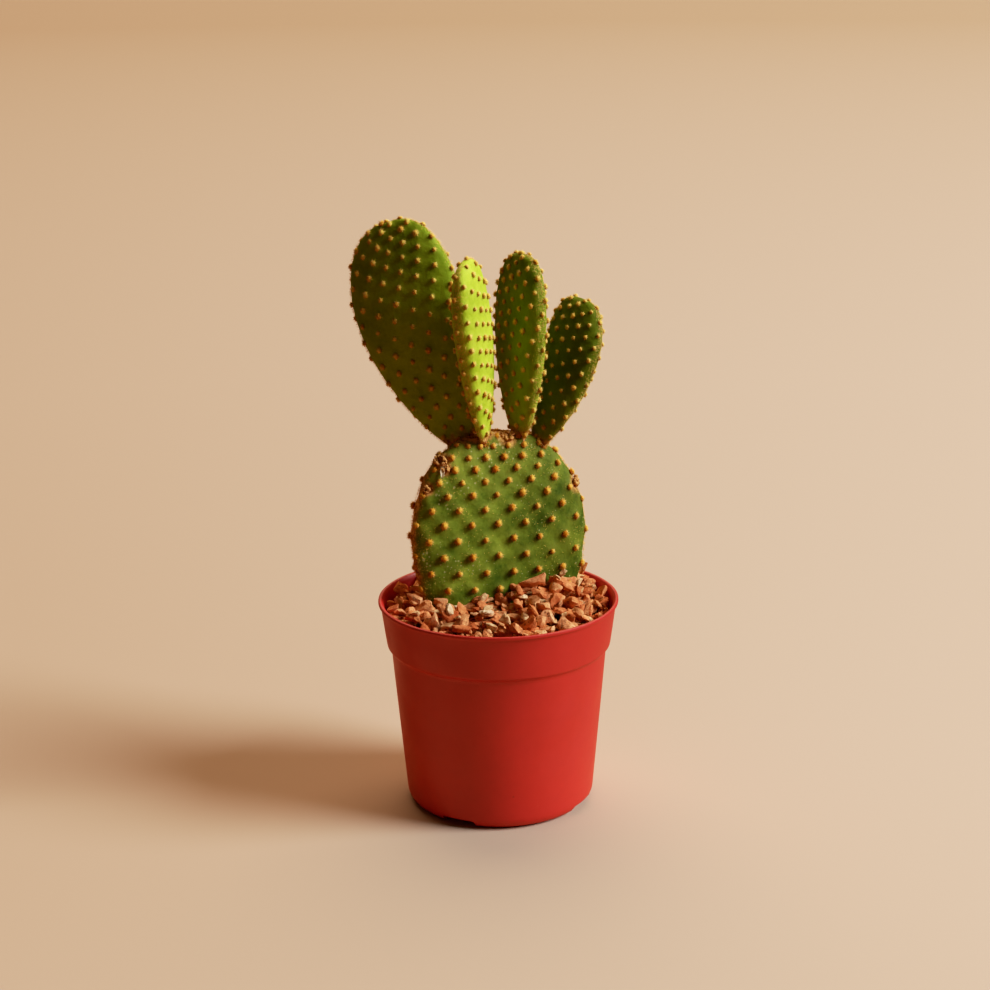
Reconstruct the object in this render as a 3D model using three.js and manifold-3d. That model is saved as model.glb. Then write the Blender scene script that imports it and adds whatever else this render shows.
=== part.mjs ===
// Potted bunny ears cactus: a pad cactus with four ears, rooted in a small nursery pot under lava grit.
// Millimetres, +Z up. The shapes are laid out from the pot's axis, with the foot on Z = 0, and the
// finished group is shifted so that its origin is the middle of the whole object's footprint.

import * as THREE from 'three';
import { ConvexHull } from 'three/addons/math/ConvexHull.js';
import { mergeVertices } from 'three/addons/utils/BufferGeometryUtils.js';
import Module from 'manifold-3d';

const wasm = await Module();
wasm.setup();

// Gap kept between two pieces that touch
const CLEARANCE = 0.3;
// How far a cut reaches past what it cuts
const OVERSHOOT = 1.5;

// Pot: heights are above the table, radii from the pot's axis
const POT = {
  height: 53.1,
  rimRadius: 30.0,
  lipHeight: 0.9,
  lipEdge: 0.25,
  collarTopRadius: 29.45,
  collarBottomRadius: 28.0,
  collarBottom: 41.8,
  bodyTopRadius: 27.0,
  bodyTop: 40.6,
  footRadius: 23.7,
  footRounding: 3.4,
  footRoundingSteps: 3,
  footRingWidth: 1.5,
  wall: 0.95,
  floorUnderside: 2.4,
  floorThickness: 1.0,
  innerCorner: [1.2, 1.6],
  segments: 36,
};
const NOTCH = { count: 4, width: 9.0, height: 2.2, depth: 6.5, firstAngle: 242.5, cornerRadius: 0.8 };
const DRAIN = { count: 6, ringRadius: 12.5, radius: 2.3, centreRadius: 3.0, sides: 8 };

// Pads. base and tip are the ends of the axis; turn is how far the face looks to the right of the
// front, in degrees; swell moves the widest place up; round and roundSide are the bluntness of the
// outline from the front and from the side; bend bows the axis to the right. tuft is the radius and
// height of an areole's tuft. The areoles lie on one spiral: cell is the skin in mm2 that one areole
// has to itself, turn the share of a circle from each to the next, phase the place of the first round
// the pad and start its place along it, counted in cells; crowding is the share of a full cell at
// the two ends, and widening how much the cells grow from base to tip.
const PADS = {
  base_pad: {
    base: [0.9, 5.0, 35.0], tip: [-1.5, 5.0, 93.9], halfWidth: 22.85, halfThickness: 5.5,
    turn: 20, swell: 1.15, round: 0.364, roundSide: 0.42, bend: 0.9, tuft: [0.82, 0.95],
    spiral: { cell: 30.5, turn: 0.4644, phase: 0.996, start: 1.13, crowding: 0.4, widening: -0.35 },
  },
  ear_left_large: {
    base: [-7.9, 5.2, 89.6], tip: [-26.08, 11.0, 145.5], halfWidth: 14.09, halfThickness: 3.7,
    turn: -16, swell: 1.559, round: 0.359, roundSide: 0.47, bend: -1.94, tuft: [0.62, 0.85],
    spiral: { cell: 19.34, turn: 0.6174, phase: 0.099, start: 1.078, crowding: 0.477, widening: -0.04 },
  },
  ear_centre_narrow: {
    base: [-2.61, 2.99, 91.61], tip: [-7.0, -9.0, 138.89], halfWidth: 7.77, halfThickness: 3.3,
    turn: 68, swell: 1.647, round: 0.29, roundSide: 0.338, bend: 0.32, tuft: [0.58, 0.8],
    spiral: { cell: 10.43, turn: 0.3845, phase: 0.122, start: 1.72, crowding: 1.13, widening: 0 },
  },
  ear_centre_tall: {
    base: [5.67, 7.59, 91.9], tip: [6.85, 8.0, 137.87], halfWidth: 9.97, halfThickness: 3.53,
    turn: -60, swell: 1.465, round: 0.311, roundSide: 0.299, bend: -0.52, tuft: [0.58, 0.8],
    spiral: { cell: 12.6, turn: 0.6173, phase: 0.642, start: 0.954, crowding: 0.873, widening: -0.388 },
  },
  ear_right_small: {
    base: [9.49, 8.9, 88.3], tip: [21.67, 12.5, 125.84], halfWidth: 7.92, halfThickness: 3.42,
    turn: -42, swell: 1.861, round: 0.307, roundSide: 0.356, bend: 1.79, tuft: [0.5, 0.72],
    spiral: { cell: 10.97, turn: 0.6166, phase: 0.138, start: 1.087, crowding: 0.671, widening: -0.251 },
  },
};
const EARS = ['ear_left_large', 'ear_centre_narrow', 'ear_centre_tall', 'ear_right_small'];

// Power of the pads' rounded-rectangle cross-section: 2 is an ellipse, more is squarer
const SECTION_POWER = 2.6;
// Steps along a pad and round it in which its skin is measured
const PAD_STEPS = 400;
const SECTION_STEPS = 96;
// Plain points that keep a pad's rim and ends in shape between the areoles: their spacing along the
// rim, and how near to an areole they are left out
const RIM_SPACING = 4.8;
const RIM_NEAR = 2.2;

// Tufts stand this far above the bed of grit, and this far clear of another pad
const TUFTS_ABOVE_GRIT = 2.6;
const TUFTS_FROM_PAD = 1.6;

// Corky scars of old buds on the base pad: place along the pad, place round it in degrees (0 is the
// right rim, 90 the front, 180 the left rim), half length and height; all have the same slimness
const SCARS = [
  { along: 0.918, round: 160, radius: 2.0, height: 1.3 },
  { along: 0.888, round: 141, radius: 1.4, height: 0.9 },
  { along: 0.807, round: 160, radius: 1.5, height: 1.0 },
  { along: 0.742, round: 12, radius: 2.0, height: 1.2 },
  { along: 0.985, round: 68, radius: 2.0, height: 1.0 },
];
const SCAR_SLIMNESS = 0.7;

// Grit: the bed's mean height, its heaps and its hollow, the chips packed side by side that make its
// surface, one in each cell of a wavering grid, and the bigger loose chips on top
const BED = { underside: 47.8, level: 50.4, ceiling: 62.0, cell: 4.8, waver: 0.32 };
const PACKED = { groove: 0.9, rise: [0.1, 1.6], tilt: 0.5, inset: [0.1, 0.3] };
const HEAPS = [
  { x: 14, y: 12, rise: 4.2, reach: 7.5 },
  { x: -17, y: 14, rise: -0.8, reach: 8 },
  { x: 9, y: -2, rise: 3.4, reach: 6.5 },
  { x: -5, y: -5, rise: 1.7, reach: 6 },
  { x: 2, y: -16, rise: 0.5, reach: 9 },
];
const CHIPS = {
  count: 14,
  size: [3.2, 5.6],
  breadth: [0.55, 0.85],
  thickness: [0.4, 0.7],
  jitter: 0.3,
  tilt: 0.6,
  turn: 0.382,
  wander: 0.4,
  stand: 0.3,
  fromPad: 3.5,
  seed: 11,
};

// Soil plug and roots
const SOIL = { top: 47.5 };
const CROWN = { centre: [0.9, 5.0, 34.6], radii: [6.5, 3.2, 3.6] };
const ROOTS = [
  { end: [-15.5, -2.0, 8.0], radius: 1.5 },
  { end: [-9.0, 14.0, 10.5], radius: 1.2 },
  { end: [3.5, -13.5, 7.0], radius: 1.4 },
  { end: [14.5, -4.0, 12.0], radius: 1.2 },
  { end: [12.0, 13.0, 7.5], radius: 1.5 },
  { end: [0.5, 3.5, 5.5], radius: 1.1 },
];
// Where a root bends: shares of its way out and of its way down
const ROOT_BENDS = [[0.4, 0.28], [0.85, 0.66]];
const ROOT_TIP_RADIUS = 0.45;
const ROOT_SIDES = 4;
const ROOT_STEPS = 4;

const FULL_TURN = Math.PI * 2;
const radians = THREE.MathUtils.degToRad;

// Geometry to solid and back

function signedVolume(positions, index) {
  let volume = 0;
  const [a, b, c] = [new THREE.Vector3(), new THREE.Vector3(), new THREE.Vector3()];
  for (let i = 0; i < index.length; i += 3) {
    a.fromArray(positions, index[i] * 3);
    b.fromArray(positions, index[i + 1] * 3);
    c.fromArray(positions, index[i + 2] * 3);
    volume += a.dot(b.cross(c)) / 6;
  }
  return volume;
}

// A closed geometry as a solid: shared vertices merged, collapsed triangles dropped, faces outwards
function toSolid(geometry) {
  const bare = geometry.clone().deleteAttribute('normal').deleteAttribute('uv');
  const merged = mergeVertices(bare, 1e-4);
  const positions = merged.attributes.position.array;
  const index = [];
  for (let i = 0; i < merged.index.count; i += 3) {
    const [a, b, c] = [0, 1, 2].map((corner) => merged.index.getX(i + corner));
    if (a !== b && b !== c && c !== a) index.push(a, b, c);
  }
  if (signedVolume(positions, index) < 0) index.reverse();
  const mesh = new wasm.Mesh({
    numProp: 3,
    vertProperties: Float32Array.from(positions),
    triVerts: Uint32Array.from(index),
  });
  return new wasm.Manifold(mesh);
}

function toGeometry(solid) {
  const { vertProperties, triVerts } = solid.getMesh();
  const geometry = new THREE.BufferGeometry();
  geometry.setAttribute('position', new THREE.BufferAttribute(vertProperties, 3));
  geometry.setIndex(new THREE.BufferAttribute(triVerts, 1));
  geometry.computeVertexNormals();
  return geometry;
}

function joinAll(solids) {
  return solids.reduce((whole, solid) => whole.add(solid));
}

// A closed skin over rings of points, drawn to one point at each end
function loft(startPoint, rings, endPoint) {
  const sides = rings[0].length;
  const points = [startPoint, ...rings.flat(), endPoint];
  const last = points.length - 1;
  const at = (ring, side) => 1 + ring * sides + (side % sides);
  const index = [];
  for (let side = 0; side < sides; side += 1) {
    index.push(0, at(0, side + 1), at(0, side));
    index.push(last, at(rings.length - 1, side), at(rings.length - 1, side + 1));
  }
  for (let ring = 0; ring < rings.length - 1; ring += 1) {
    for (let side = 0; side < sides; side += 1) {
      const [a, b] = [at(ring, side), at(ring, side + 1)];
      const [c, d] = [at(ring + 1, side), at(ring + 1, side + 1)];
      index.push(a, b, d, a, d, c);
    }
  }
  const geometry = new THREE.BufferGeometry().setFromPoints(points);
  geometry.setIndex(index);
  return geometry;
}

// A profile of [radius, height] pairs turned round the pot's axis
function turned(profile) {
  const points = profile.map(([radius, height]) => new THREE.Vector2(radius, height));
  return toSolid(new THREE.LatheGeometry(points, POT.segments).rotateX(Math.PI / 2));
}

// The same row of numbers on every run, with draws from a range and to either side of zero
function seededNumbers(seed) {
  let state = seed >>> 0;
  const next = () => {
    state = (Math.imul(state, 1664525) + 1013904223) >>> 0;
    return state / 4294967296;
  };
  const between = ([low, high]) => THREE.MathUtils.lerp(low, high, next());
  const either = (reach) => (next() - 0.5) * 2 * reach;
  return { next, between, either };
}

// Pot

function wallRadius(z) {
  if (z >= POT.collarBottom) {
    const share = (z - POT.collarBottom) / (POT.height - POT.lipHeight - POT.collarBottom);
    return THREE.MathUtils.lerp(POT.collarBottomRadius, POT.collarTopRadius, share);
  }
  const share = (z - POT.footRounding) / (POT.bodyTop - POT.footRounding);
  return THREE.MathUtils.lerp(POT.footRadius, POT.bodyTopRadius, share);
}

// The inside of the pot from its floor up, set in by a gap, as [radius, height] pairs
function innerProfile(gap) {
  const floor = POT.floorUnderside + POT.floorThickness;
  const inset = POT.wall + gap;
  const [cornerWidth, cornerHeight] = POT.innerCorner;
  return [
    [wallRadius(floor) - inset - cornerWidth, floor + gap],
    [wallRadius(floor + cornerHeight) - inset, floor + cornerHeight + gap],
    [POT.bodyTopRadius - inset, POT.bodyTop],
    [POT.collarBottomRadius - inset, POT.collarBottom],
    [wallRadius(POT.height - POT.lipHeight) - inset, POT.height - POT.lipHeight],
  ];
}

function footArc() {
  const arc = [];
  const { footRounding: radius, footRoundingSteps: steps } = POT;
  for (let i = 0; i <= steps; i += 1) {
    const angle = (i / steps) * Math.PI / 2;
    arc.push([POT.footRadius - radius + radius * Math.sin(angle), radius - radius * Math.cos(angle)]);
  }
  return arc;
}

function lipProfile() {
  const { height, rimRadius, lipEdge } = POT;
  const under = height - POT.lipHeight;
  return [
    [POT.collarTopRadius, under - lipEdge],
    [rimRadius, under],
    [rimRadius, height - lipEdge],
    [rimRadius - lipEdge, height],
    [rimRadius - POT.wall, height],
  ];
}

function notchCutter(angle) {
  const { width, height, cornerRadius } = NOTCH;
  const half = width / 2;
  const depth = NOTCH.depth + OVERSHOOT;
  const outline = new THREE.Shape();
  outline.moveTo(-half, -OVERSHOOT);
  outline.lineTo(half, -OVERSHOOT);
  outline.lineTo(half, height - cornerRadius);
  outline.absarc(half - cornerRadius, height - cornerRadius, cornerRadius, 0, Math.PI / 2);
  outline.absarc(cornerRadius - half, height - cornerRadius, cornerRadius, Math.PI / 2, Math.PI);
  const bar = new THREE.ExtrudeGeometry(outline, { depth, bevelEnabled: false, curveSegments: 2 });
  bar.rotateX(Math.PI / 2).rotateZ(Math.PI / 2);
  bar.translate(POT.footRadius - NOTCH.depth, 0, 0).rotateZ(radians(angle));
  return toSolid(bar);
}

function drainHole(x, y, radius) {
  const length = POT.floorThickness + 2 * OVERSHOOT;
  const hole = new THREE.CylinderGeometry(radius, radius, length, DRAIN.sides).rotateX(Math.PI / 2);
  return toSolid(hole.translate(x, y, POT.floorUnderside + POT.floorThickness / 2));
}

function makePot() {
  const ringInside = POT.footRadius - POT.footRounding - POT.footRingWidth;
  const floorTop = POT.floorUnderside + POT.floorThickness;
  let pot = turned([
    [0, POT.floorUnderside],
    [ringInside, POT.floorUnderside],
    [ringInside, 0],
    ...footArc(),
    [POT.bodyTopRadius, POT.bodyTop],
    [POT.collarBottomRadius, POT.collarBottom],
    ...lipProfile(),
    ...innerProfile(0).reverse(),
    [0, floorTop],
  ]);
  for (let i = 0; i < NOTCH.count; i += 1) {
    pot = pot.subtract(notchCutter(NOTCH.firstAngle + (i * 360) / NOTCH.count));
  }
  pot = pot.subtract(drainHole(0, 0, DRAIN.centreRadius));
  for (let i = 0; i < DRAIN.count; i += 1) {
    const angle = (i / DRAIN.count) * FULL_TURN;
    const [x, y] = [DRAIN.ringRadius * Math.cos(angle), DRAIN.ringRadius * Math.sin(angle)];
    pot = pot.subtract(drainHole(x, y, DRAIN.radius));
  }
  return pot;
}

// Pads

function padAxes(pad) {
  const base = new THREE.Vector3(...pad.base);
  const along = new THREE.Vector3(...pad.tip).sub(base);
  const length = along.length();
  along.normalize();
  const facing = new THREE.Vector3(Math.sin(radians(pad.turn)), -Math.cos(radians(pad.turn)), 0);
  facing.addScaledVector(along, -facing.dot(along)).normalize();
  const across = new THREE.Vector3().crossVectors(along, facing);
  return { base, along, length, facing, across };
}

// Half width and half thickness at a place s along the axis, from 0 at the base to 1 at the tip
function padHalves(pad, s) {
  const lobe = Math.max(Math.sin(Math.PI * s ** pad.swell), 0);
  return [pad.halfWidth * lobe ** pad.round, pad.halfThickness * lobe ** pad.roundSide];
}

function signedPower(value, power) {
  return Math.sign(value) * Math.abs(value) ** power;
}

// A point of the skin: s along the axis, phi round it, 0 at the right rim and a quarter turn in front
function padPoint(pad, s, phi) {
  const { base, along, length, facing, across } = pad.axes;
  const [width, thickness] = padHalves(pad, s);
  const sideways = width * signedPower(Math.cos(phi), 2 / SECTION_POWER) + pad.bend * Math.sin(Math.PI * s);
  return base.clone()
    .addScaledVector(along, length * s)
    .addScaledVector(across, sideways)
    .addScaledVector(facing, thickness * signedPower(Math.sin(phi), 2 / SECTION_POWER));
}

function padNormal(pad, s, phi) {
  const step = 1e-3;
  const up = padPoint(pad, Math.min(s + step, 1), phi).sub(padPoint(pad, Math.max(s - step, 0), phi));
  const around = padPoint(pad, s, phi + step).sub(padPoint(pad, s, phi - step));
  return around.cross(up).normalize();
}

// Places along the axis, close together at the blunt ends
function endSpaced(step, steps) {
  return (1 - Math.cos((Math.PI * step) / steps)) / 2;
}

// The pad grown by a gap on every side, to cut what it touches
function grownPad(pad, gap) {
  const { base, tip } = pad;
  const { along } = pad.axes;
  const grown = {
    ...pad,
    base: new THREE.Vector3(...base).addScaledVector(along, -gap).toArray(),
    tip: new THREE.Vector3(...tip).addScaledVector(along, gap).toArray(),
    halfWidth: pad.halfWidth + gap,
    halfThickness: pad.halfThickness + gap,
    tuft: pad.tuft.map((size) => size + gap),
  };
  grown.axes = padAxes(grown);
  return grown;
}

function insidePad(pad, point, margin) {
  const { base, along, length, facing, across } = pad.axes;
  const from = point.clone().sub(base);
  const s = from.dot(along) / length;
  if (s <= 0 || s >= 1) return false;
  const [width, thickness] = padHalves(pad, s);
  const sideways = Math.abs(from.dot(across) - pad.bend * Math.sin(Math.PI * s)) / (width + margin);
  const outwards = Math.abs(from.dot(facing)) / (thickness + margin);
  return sideways ** SECTION_POWER + outwards ** SECTION_POWER < 1;
}

// Distances round the section at s, at even steps of phi
function sectionLengths(pad, s) {
  const lengths = [0];
  let previous = padPoint(pad, s, 0);
  for (let i = 1; i <= SECTION_STEPS; i += 1) {
    const next = padPoint(pad, s, (i / SECTION_STEPS) * FULL_TURN);
    lengths.push(lengths[i - 1] + next.distanceTo(previous));
    previous = next;
  }
  return lengths;
}

function phiAtShare(pad, s, share) {
  if (s === 0 || s === 1) return 0;
  const lengths = sectionLengths(pad, s);
  const wanted = share * lengths[SECTION_STEPS];
  const i = lengths.findIndex((length) => length > wanted) - 1;
  const part = (wanted - lengths[i]) / (lengths[i + 1] - lengths[i]);
  return ((i + part) / SECTION_STEPS) * FULL_TURN;
}

function placeOn(pad, s, share, tufted) {
  const phi = phiAtShare(pad, s, share);
  return { s, share, phi, tufted, point: padPoint(pad, s, phi) };
}

// The skin that one areole has to itself at a place along the pad
function cellAt({ cell, crowding, widening }, s) {
  return cell * (crowding + (1 - crowding) * Math.sin(Math.PI * s)) * (1 + widening * (s - 0.5));
}

// Areoles on one spiral from base to tip, each with its cell of the skin
function areoles(pad) {
  const { turn, phase, start } = pad.spiral;
  const places = [];
  let filled = 0;
  for (let i = 0; i < PAD_STEPS; i += 1) {
    const [low, high] = [endSpaced(i, PAD_STEPS), endSpaced(i + 1, PAD_STEPS)];
    const s = (low + high) / 2;
    const [lowWidth, lowThickness] = padHalves(pad, low);
    const [highWidth, highThickness] = padHalves(pad, high);
    const spread = (highWidth - lowWidth + highThickness - lowThickness) / 2;
    const band = sectionLengths(pad, s)[SECTION_STEPS] * Math.hypot(pad.axes.length * (high - low), spread);
    filled += band / cellAt(pad.spiral, s);
    if (filled > places.length + start) {
      const share = THREE.MathUtils.euclideanModulo(phase - places.length * turn, 1);
      places.push(placeOn(pad, s, share, true));
    }
  }
  return places;
}

// Plain points along both rims and at the two ends, clear of the areoles
function rimPoints(pad, taken) {
  const count = Math.round((2 * pad.axes.length) / RIM_SPACING);
  const rim = [];
  for (let i = 1; i < count; i += 1) {
    rim.push(placeOn(pad, endSpaced(i, count), 0, false), placeOn(pad, endSpaced(i, count), 0.5, false));
  }
  const clear = rim.filter(({ point }) => taken.every((areole) => areole.point.distanceTo(point) > RIM_NEAR));
  return [placeOn(pad, 0, 0, false), ...clear, placeOn(pad, 1, 0, false)];
}

// Which points are neighbours: the hull of a round body with the same height and girth as the pad
function neighbours(pad, places) {
  const twins = places.map(({ s, share }) => {
    const girth = sectionLengths(pad, s)[SECTION_STEPS];
    const [radius, angle] = [girth / FULL_TURN, share * FULL_TURN];
    return new THREE.Vector3(radius * Math.cos(angle), radius * Math.sin(angle), s * pad.axes.length);
  });
  const numbers = new Map(twins.map((twin, number) => [twin, number]));
  return new ConvexHull().setFromPoints(twins).faces.map(({ edge }) => (
    [edge, edge.next, edge.prev].map((side) => numbers.get(side.head().point))));
}

// The skin of a pad as one solid. Every areole is a low point with a small cone standing on it, whose
// foot has a corner towards each neighbouring point; the skin between is faceted.
function padBody(pad, places) {
  const [radius, height] = pad.tuft;
  const spots = places.map((place) => ({
    ...place,
    point: padPoint(pad, place.s, place.phi),
    normal: padNormal(pad, place.s, place.phi),
  }));
  const points = [];
  const corner = (from, to) => {
    if (!from.tufted) return points.push(from.point) - 1;
    const way = to.point.clone().sub(from.point);
    way.addScaledVector(from.normal, -way.dot(from.normal)).setLength(radius);
    return points.push(from.point.clone().add(way)) - 1;
  };
  const index = [];
  for (const face of neighbours(pad, places)) {
    const [a, b, c] = face.map((number) => spots[number]);
    const ring = [corner(a, b), corner(b, a), corner(b, c), corner(c, b), corner(c, a), corner(a, c)];
    index.push(ring[0], ring[2], ring[4]);
    for (let i = 0; i < 6; i += 2) index.push(ring[i], ring[i + 1], ring[(i + 2) % 6]);
    [a, b, c].forEach((spot, i) => {
      if (!spot.tufted) return;
      const peak = points.push(spot.point.clone().addScaledVector(spot.normal, height)) - 1;
      index.push(peak, ring[2 * i], ring[(2 * i + 5) % 6]);
    });
  }
  const geometry = new THREE.BufferGeometry().setFromPoints(points);
  geometry.setIndex(index);
  return toSolid(geometry);
}

// A corky scar: a low angular lump, half sunk in the skin
function scar(pad, { along, round, radius, height }) {
  const phi = radians(round);
  const lump = new THREE.IcosahedronGeometry(1, 0).scale(radius, radius * SCAR_SLIMNESS, height);
  const outwards = padNormal(pad, along, phi);
  const turn = new THREE.Quaternion().setFromUnitVectors(new THREE.Vector3(0, 0, 1), outwards);
  return toSolid(lump.applyQuaternion(turn).translate(...padPoint(pad, along, phi)));
}

// Grit

function heapHeight(x, y) {
  return HEAPS.reduce((height, heap) => {
    const far = ((x - heap.x) ** 2 + (y - heap.y) ** 2) / (2 * heap.reach ** 2);
    return height + heap.rise * Math.exp(-far);
  }, BED.level);
}

// The bed as one solid: each cell of the grid is a chip with a tilted top, inset from its four corners
function packedChips(random) {
  const half = Math.ceil(POT.rimRadius / BED.cell);
  const count = 2 * half;
  const corner = [];
  for (let row = 0; row <= count; row += 1) {
    for (let column = 0; column <= count; column += 1) {
      const x = (column - half + random.either(BED.waver)) * BED.cell;
      const y = (row - half + random.either(BED.waver)) * BED.cell;
      corner.push(new THREE.Vector3(x, y, heapHeight(x, y) - PACKED.groove * random.next()));
    }
  }
  const points = [...corner, ...corner.map(({ x, y }) => new THREE.Vector3(x, y, BED.underside - BED.cell))];
  const under = corner.length;
  const at = (row, column) => row * (count + 1) + column;
  const index = [];
  const quad = (a, b, c, d) => index.push(a, b, c, a, c, d);
  for (let row = 0; row < count; row += 1) {
    for (let column = 0; column < count; column += 1) {
      const ring = [at(row, column), at(row, column + 1), at(row + 1, column + 1), at(row + 1, column)];
      const centre = ring.reduce((sum, i) => sum.add(corner[i]), new THREE.Vector3()).multiplyScalar(0.25);
      const level = heapHeight(centre.x, centre.y) + random.between(PACKED.rise);
      const inset = random.between(PACKED.inset);
      const [slopeX, slopeY] = [random.either(PACKED.tilt), random.either(PACKED.tilt)];
      const top = ring.map((i) => {
        const place = corner[i].clone().lerp(centre, inset);
        place.z = level + (place.x - centre.x) * slopeX + (place.y - centre.y) * slopeY;
        return points.push(place) - 1;
      });
      quad(...top);
      for (let side = 0; side < 4; side += 1) {
        const next = (side + 1) % 4;
        quad(ring[side], ring[next], top[next], top[side]);
      }
      quad(...ring.map((i) => i + under).reverse());
    }
  }
  for (let i = 0; i < count; i += 1) {
    quad(at(0, i + 1), at(0, i), at(0, i) + under, at(0, i + 1) + under);
    quad(at(count, i), at(count, i + 1), at(count, i + 1) + under, at(count, i) + under);
    quad(at(i, 0), at(i + 1, 0), at(i + 1, 0) + under, at(i, 0) + under);
    quad(at(i + 1, count), at(i, count), at(i, count) + under, at(i + 1, count) + under);
  }
  const geometry = new THREE.BufferGeometry().setFromPoints(points);
  geometry.setIndex(index);
  return toSolid(geometry);
}

// One angular chip: a box with its corners pulled about
function chip(random) {
  const box = new THREE.BoxGeometry(1, 1, 1).deleteAttribute('normal').deleteAttribute('uv');
  const corners = mergeVertices(box, 1e-3);
  const position = corners.attributes.position;
  for (let i = 0; i < position.count; i += 1) {
    const [x, y, z] = [position.getX(i), position.getY(i), position.getZ(i)];
    const pull = () => random.either(CHIPS.jitter);
    position.setXYZ(i, x + pull(), y + pull(), z + pull());
  }
  return corners;
}

function looseChips(random) {
  const reach = wallRadius(BED.level) - POT.wall - CLEARANCE;
  const solids = [];
  for (let i = 0; i < CHIPS.count; i += 1) {
    const size = random.between(CHIPS.size);
    const radius = (reach - size / 2) * Math.sqrt((i + 0.5) / CHIPS.count);
    const angle = i * CHIPS.turn * FULL_TURN;
    const x = radius * Math.cos(angle) + random.either(CHIPS.wander);
    const y = radius * Math.sin(angle) + random.either(CHIPS.wander);
    const shape = chip(random);
    shape.scale(size, size * random.between(CHIPS.breadth), size * random.between(CHIPS.thickness));
    shape.rotateX(random.either(CHIPS.tilt)).rotateY(random.either(CHIPS.tilt));
    shape.rotateZ(random.either(Math.PI));
    const foot = new THREE.Vector3(x, y, heapHeight(x, y));
    shape.translate(x, y, foot.z + size * CHIPS.stand);
    if (!insidePad(basePad, foot, CHIPS.fromPad)) solids.push(toSolid(shape));
  }
  return solids;
}

// The space in the pot that grit and soil may fill
function potRoom(fromHeight, toHeight) {
  const gap = CLEARANCE;
  const lowPart = innerProfile(gap).filter(([, z]) => z >= fromHeight && z <= toHeight);
  const bottom = Math.max(fromHeight, innerProfile(gap)[0][1]);
  const radiusAt = (z) => wallRadius(z) - POT.wall - gap;
  const start = lowPart.length && lowPart[0][1] === bottom ? [] : [[radiusAt(bottom), bottom]];
  const topRadius = Math.min(radiusAt(Math.min(toHeight, POT.height)), radiusAt(POT.height - POT.lipHeight));
  return turned([[0, bottom], ...start, ...lowPart, [topRadius, toHeight], [0, toHeight]]);
}

// Soil and roots

function rootCurve({ end }) {
  const start = new THREE.Vector3(...CROWN.centre);
  const finish = new THREE.Vector3(...end);
  const bends = ROOT_BENDS.map(([out, down]) => (
    start.clone().lerp(finish, out).setZ(THREE.MathUtils.lerp(start.z, finish.z, down))));
  return new THREE.CatmullRomCurve3([start, ...bends, finish]);
}

function taperedRoot(root, gap) {
  const curve = rootCurve(root);
  const frames = curve.computeFrenetFrames(ROOT_STEPS, false);
  const rings = [];
  for (let step = 0; step <= ROOT_STEPS; step += 1) {
    const share = step / ROOT_STEPS;
    const middle = curve.getPointAt(share);
    const radius = THREE.MathUtils.lerp(root.radius, ROOT_TIP_RADIUS, share) + gap;
    const ring = [];
    for (let side = 0; side < ROOT_SIDES; side += 1) {
      const angle = (side / ROOT_SIDES) * FULL_TURN;
      ring.push(middle.clone()
        .addScaledVector(frames.normals[step], radius * Math.cos(angle))
        .addScaledVector(frames.binormals[step], radius * Math.sin(angle)));
    }
    rings.push(ring);
  }
  const tip = curve.getPointAt(1).addScaledVector(frames.tangents[ROOT_STEPS], ROOT_TIP_RADIUS + gap);
  return toSolid(loft(curve.getPointAt(0), rings, tip));
}

function rootMass(gap) {
  const radii = CROWN.radii.map((radius) => radius + gap);
  const crown = new THREE.IcosahedronGeometry(1, 1).scale(...radii).translate(...CROWN.centre);
  return joinAll([toSolid(crown), ...ROOTS.map((root) => taperedRoot(root, gap))]);
}

// Assembly

for (const pad of Object.values(PADS)) pad.axes = padAxes(pad);
const basePad = PADS.base_pad;
const grownBase = grownPad(basePad, CLEARANCE);
const otherEars = (name) => EARS.filter((other) => other !== name).map((other) => PADS[other]);

function underScar(point) {
  return SCARS.some(({ along, round, radius }) => (
    padPoint(basePad, along, radians(round)).distanceTo(point) < radius + basePad.tuft[0]));
}

// Tufts stand clear of the scars, the grit's bed, the other ears and the seats where pads meet
function basePlaces() {
  const places = areoles(basePad).map((place) => {
    const { point } = place;
    const aboveGrit = point.z > heapHeight(point.x, point.y) + TUFTS_ABOVE_GRIT;
    const clearOfEars = !EARS.some((name) => insidePad(PADS[name], point, TUFTS_FROM_PAD));
    return { ...place, tufted: aboveGrit && clearOfEars && !underScar(point) };
  });
  return [...places, ...rimPoints(basePad, places)];
}

function earPlaces(name) {
  const ear = PADS[name];
  const places = areoles(ear).map((place) => {
    const peak = place.point.clone().addScaledVector(padNormal(ear, place.s, place.phi), ear.tuft[1]);
    const clearOfEars = !otherEars(name).some((other) => insidePad(other, peak, TUFTS_FROM_PAD));
    return { ...place, tufted: clearOfEars && !insidePad(basePad, place.point, TUFTS_FROM_PAD) };
  });
  return [...places, ...rimPoints(ear, places)];
}

const placesOnBase = basePlaces();
const plainBase = padBody(grownBase, placesOnBase.map((place) => ({ ...place, tufted: false })));

function makeBasePad() {
  return joinAll([padBody(basePad, placesOnBase), ...SCARS.map((place) => scar(basePad, place))]);
}

// Everything that the ears must leave room for on the base pad
function basePadRoom() {
  const grownScars = SCARS.map((place) => {
    const [radius, height] = [place.radius + CLEARANCE, place.height + CLEARANCE];
    return scar(basePad, { ...place, radius, height });
  });
  return joinAll([padBody(grownBase, placesOnBase), ...grownScars]);
}

const roomForBase = basePadRoom();

function makeEar(name) {
  return padBody(PADS[name], earPlaces(name)).subtract(roomForBase);
}

function makeGravel() {
  const random = seededNumbers(CHIPS.seed);
  const bed = joinAll([packedChips(random), ...looseChips(random)]);
  return bed.intersect(potRoom(BED.underside, BED.ceiling)).subtract(plainBase);
}

function makeSoil() {
  return potRoom(0, SOIL.top).subtract(plainBase).subtract(rootMass(CLEARANCE));
}

function makeRoots() {
  return rootMass(0).subtract(plainBase);
}

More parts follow.
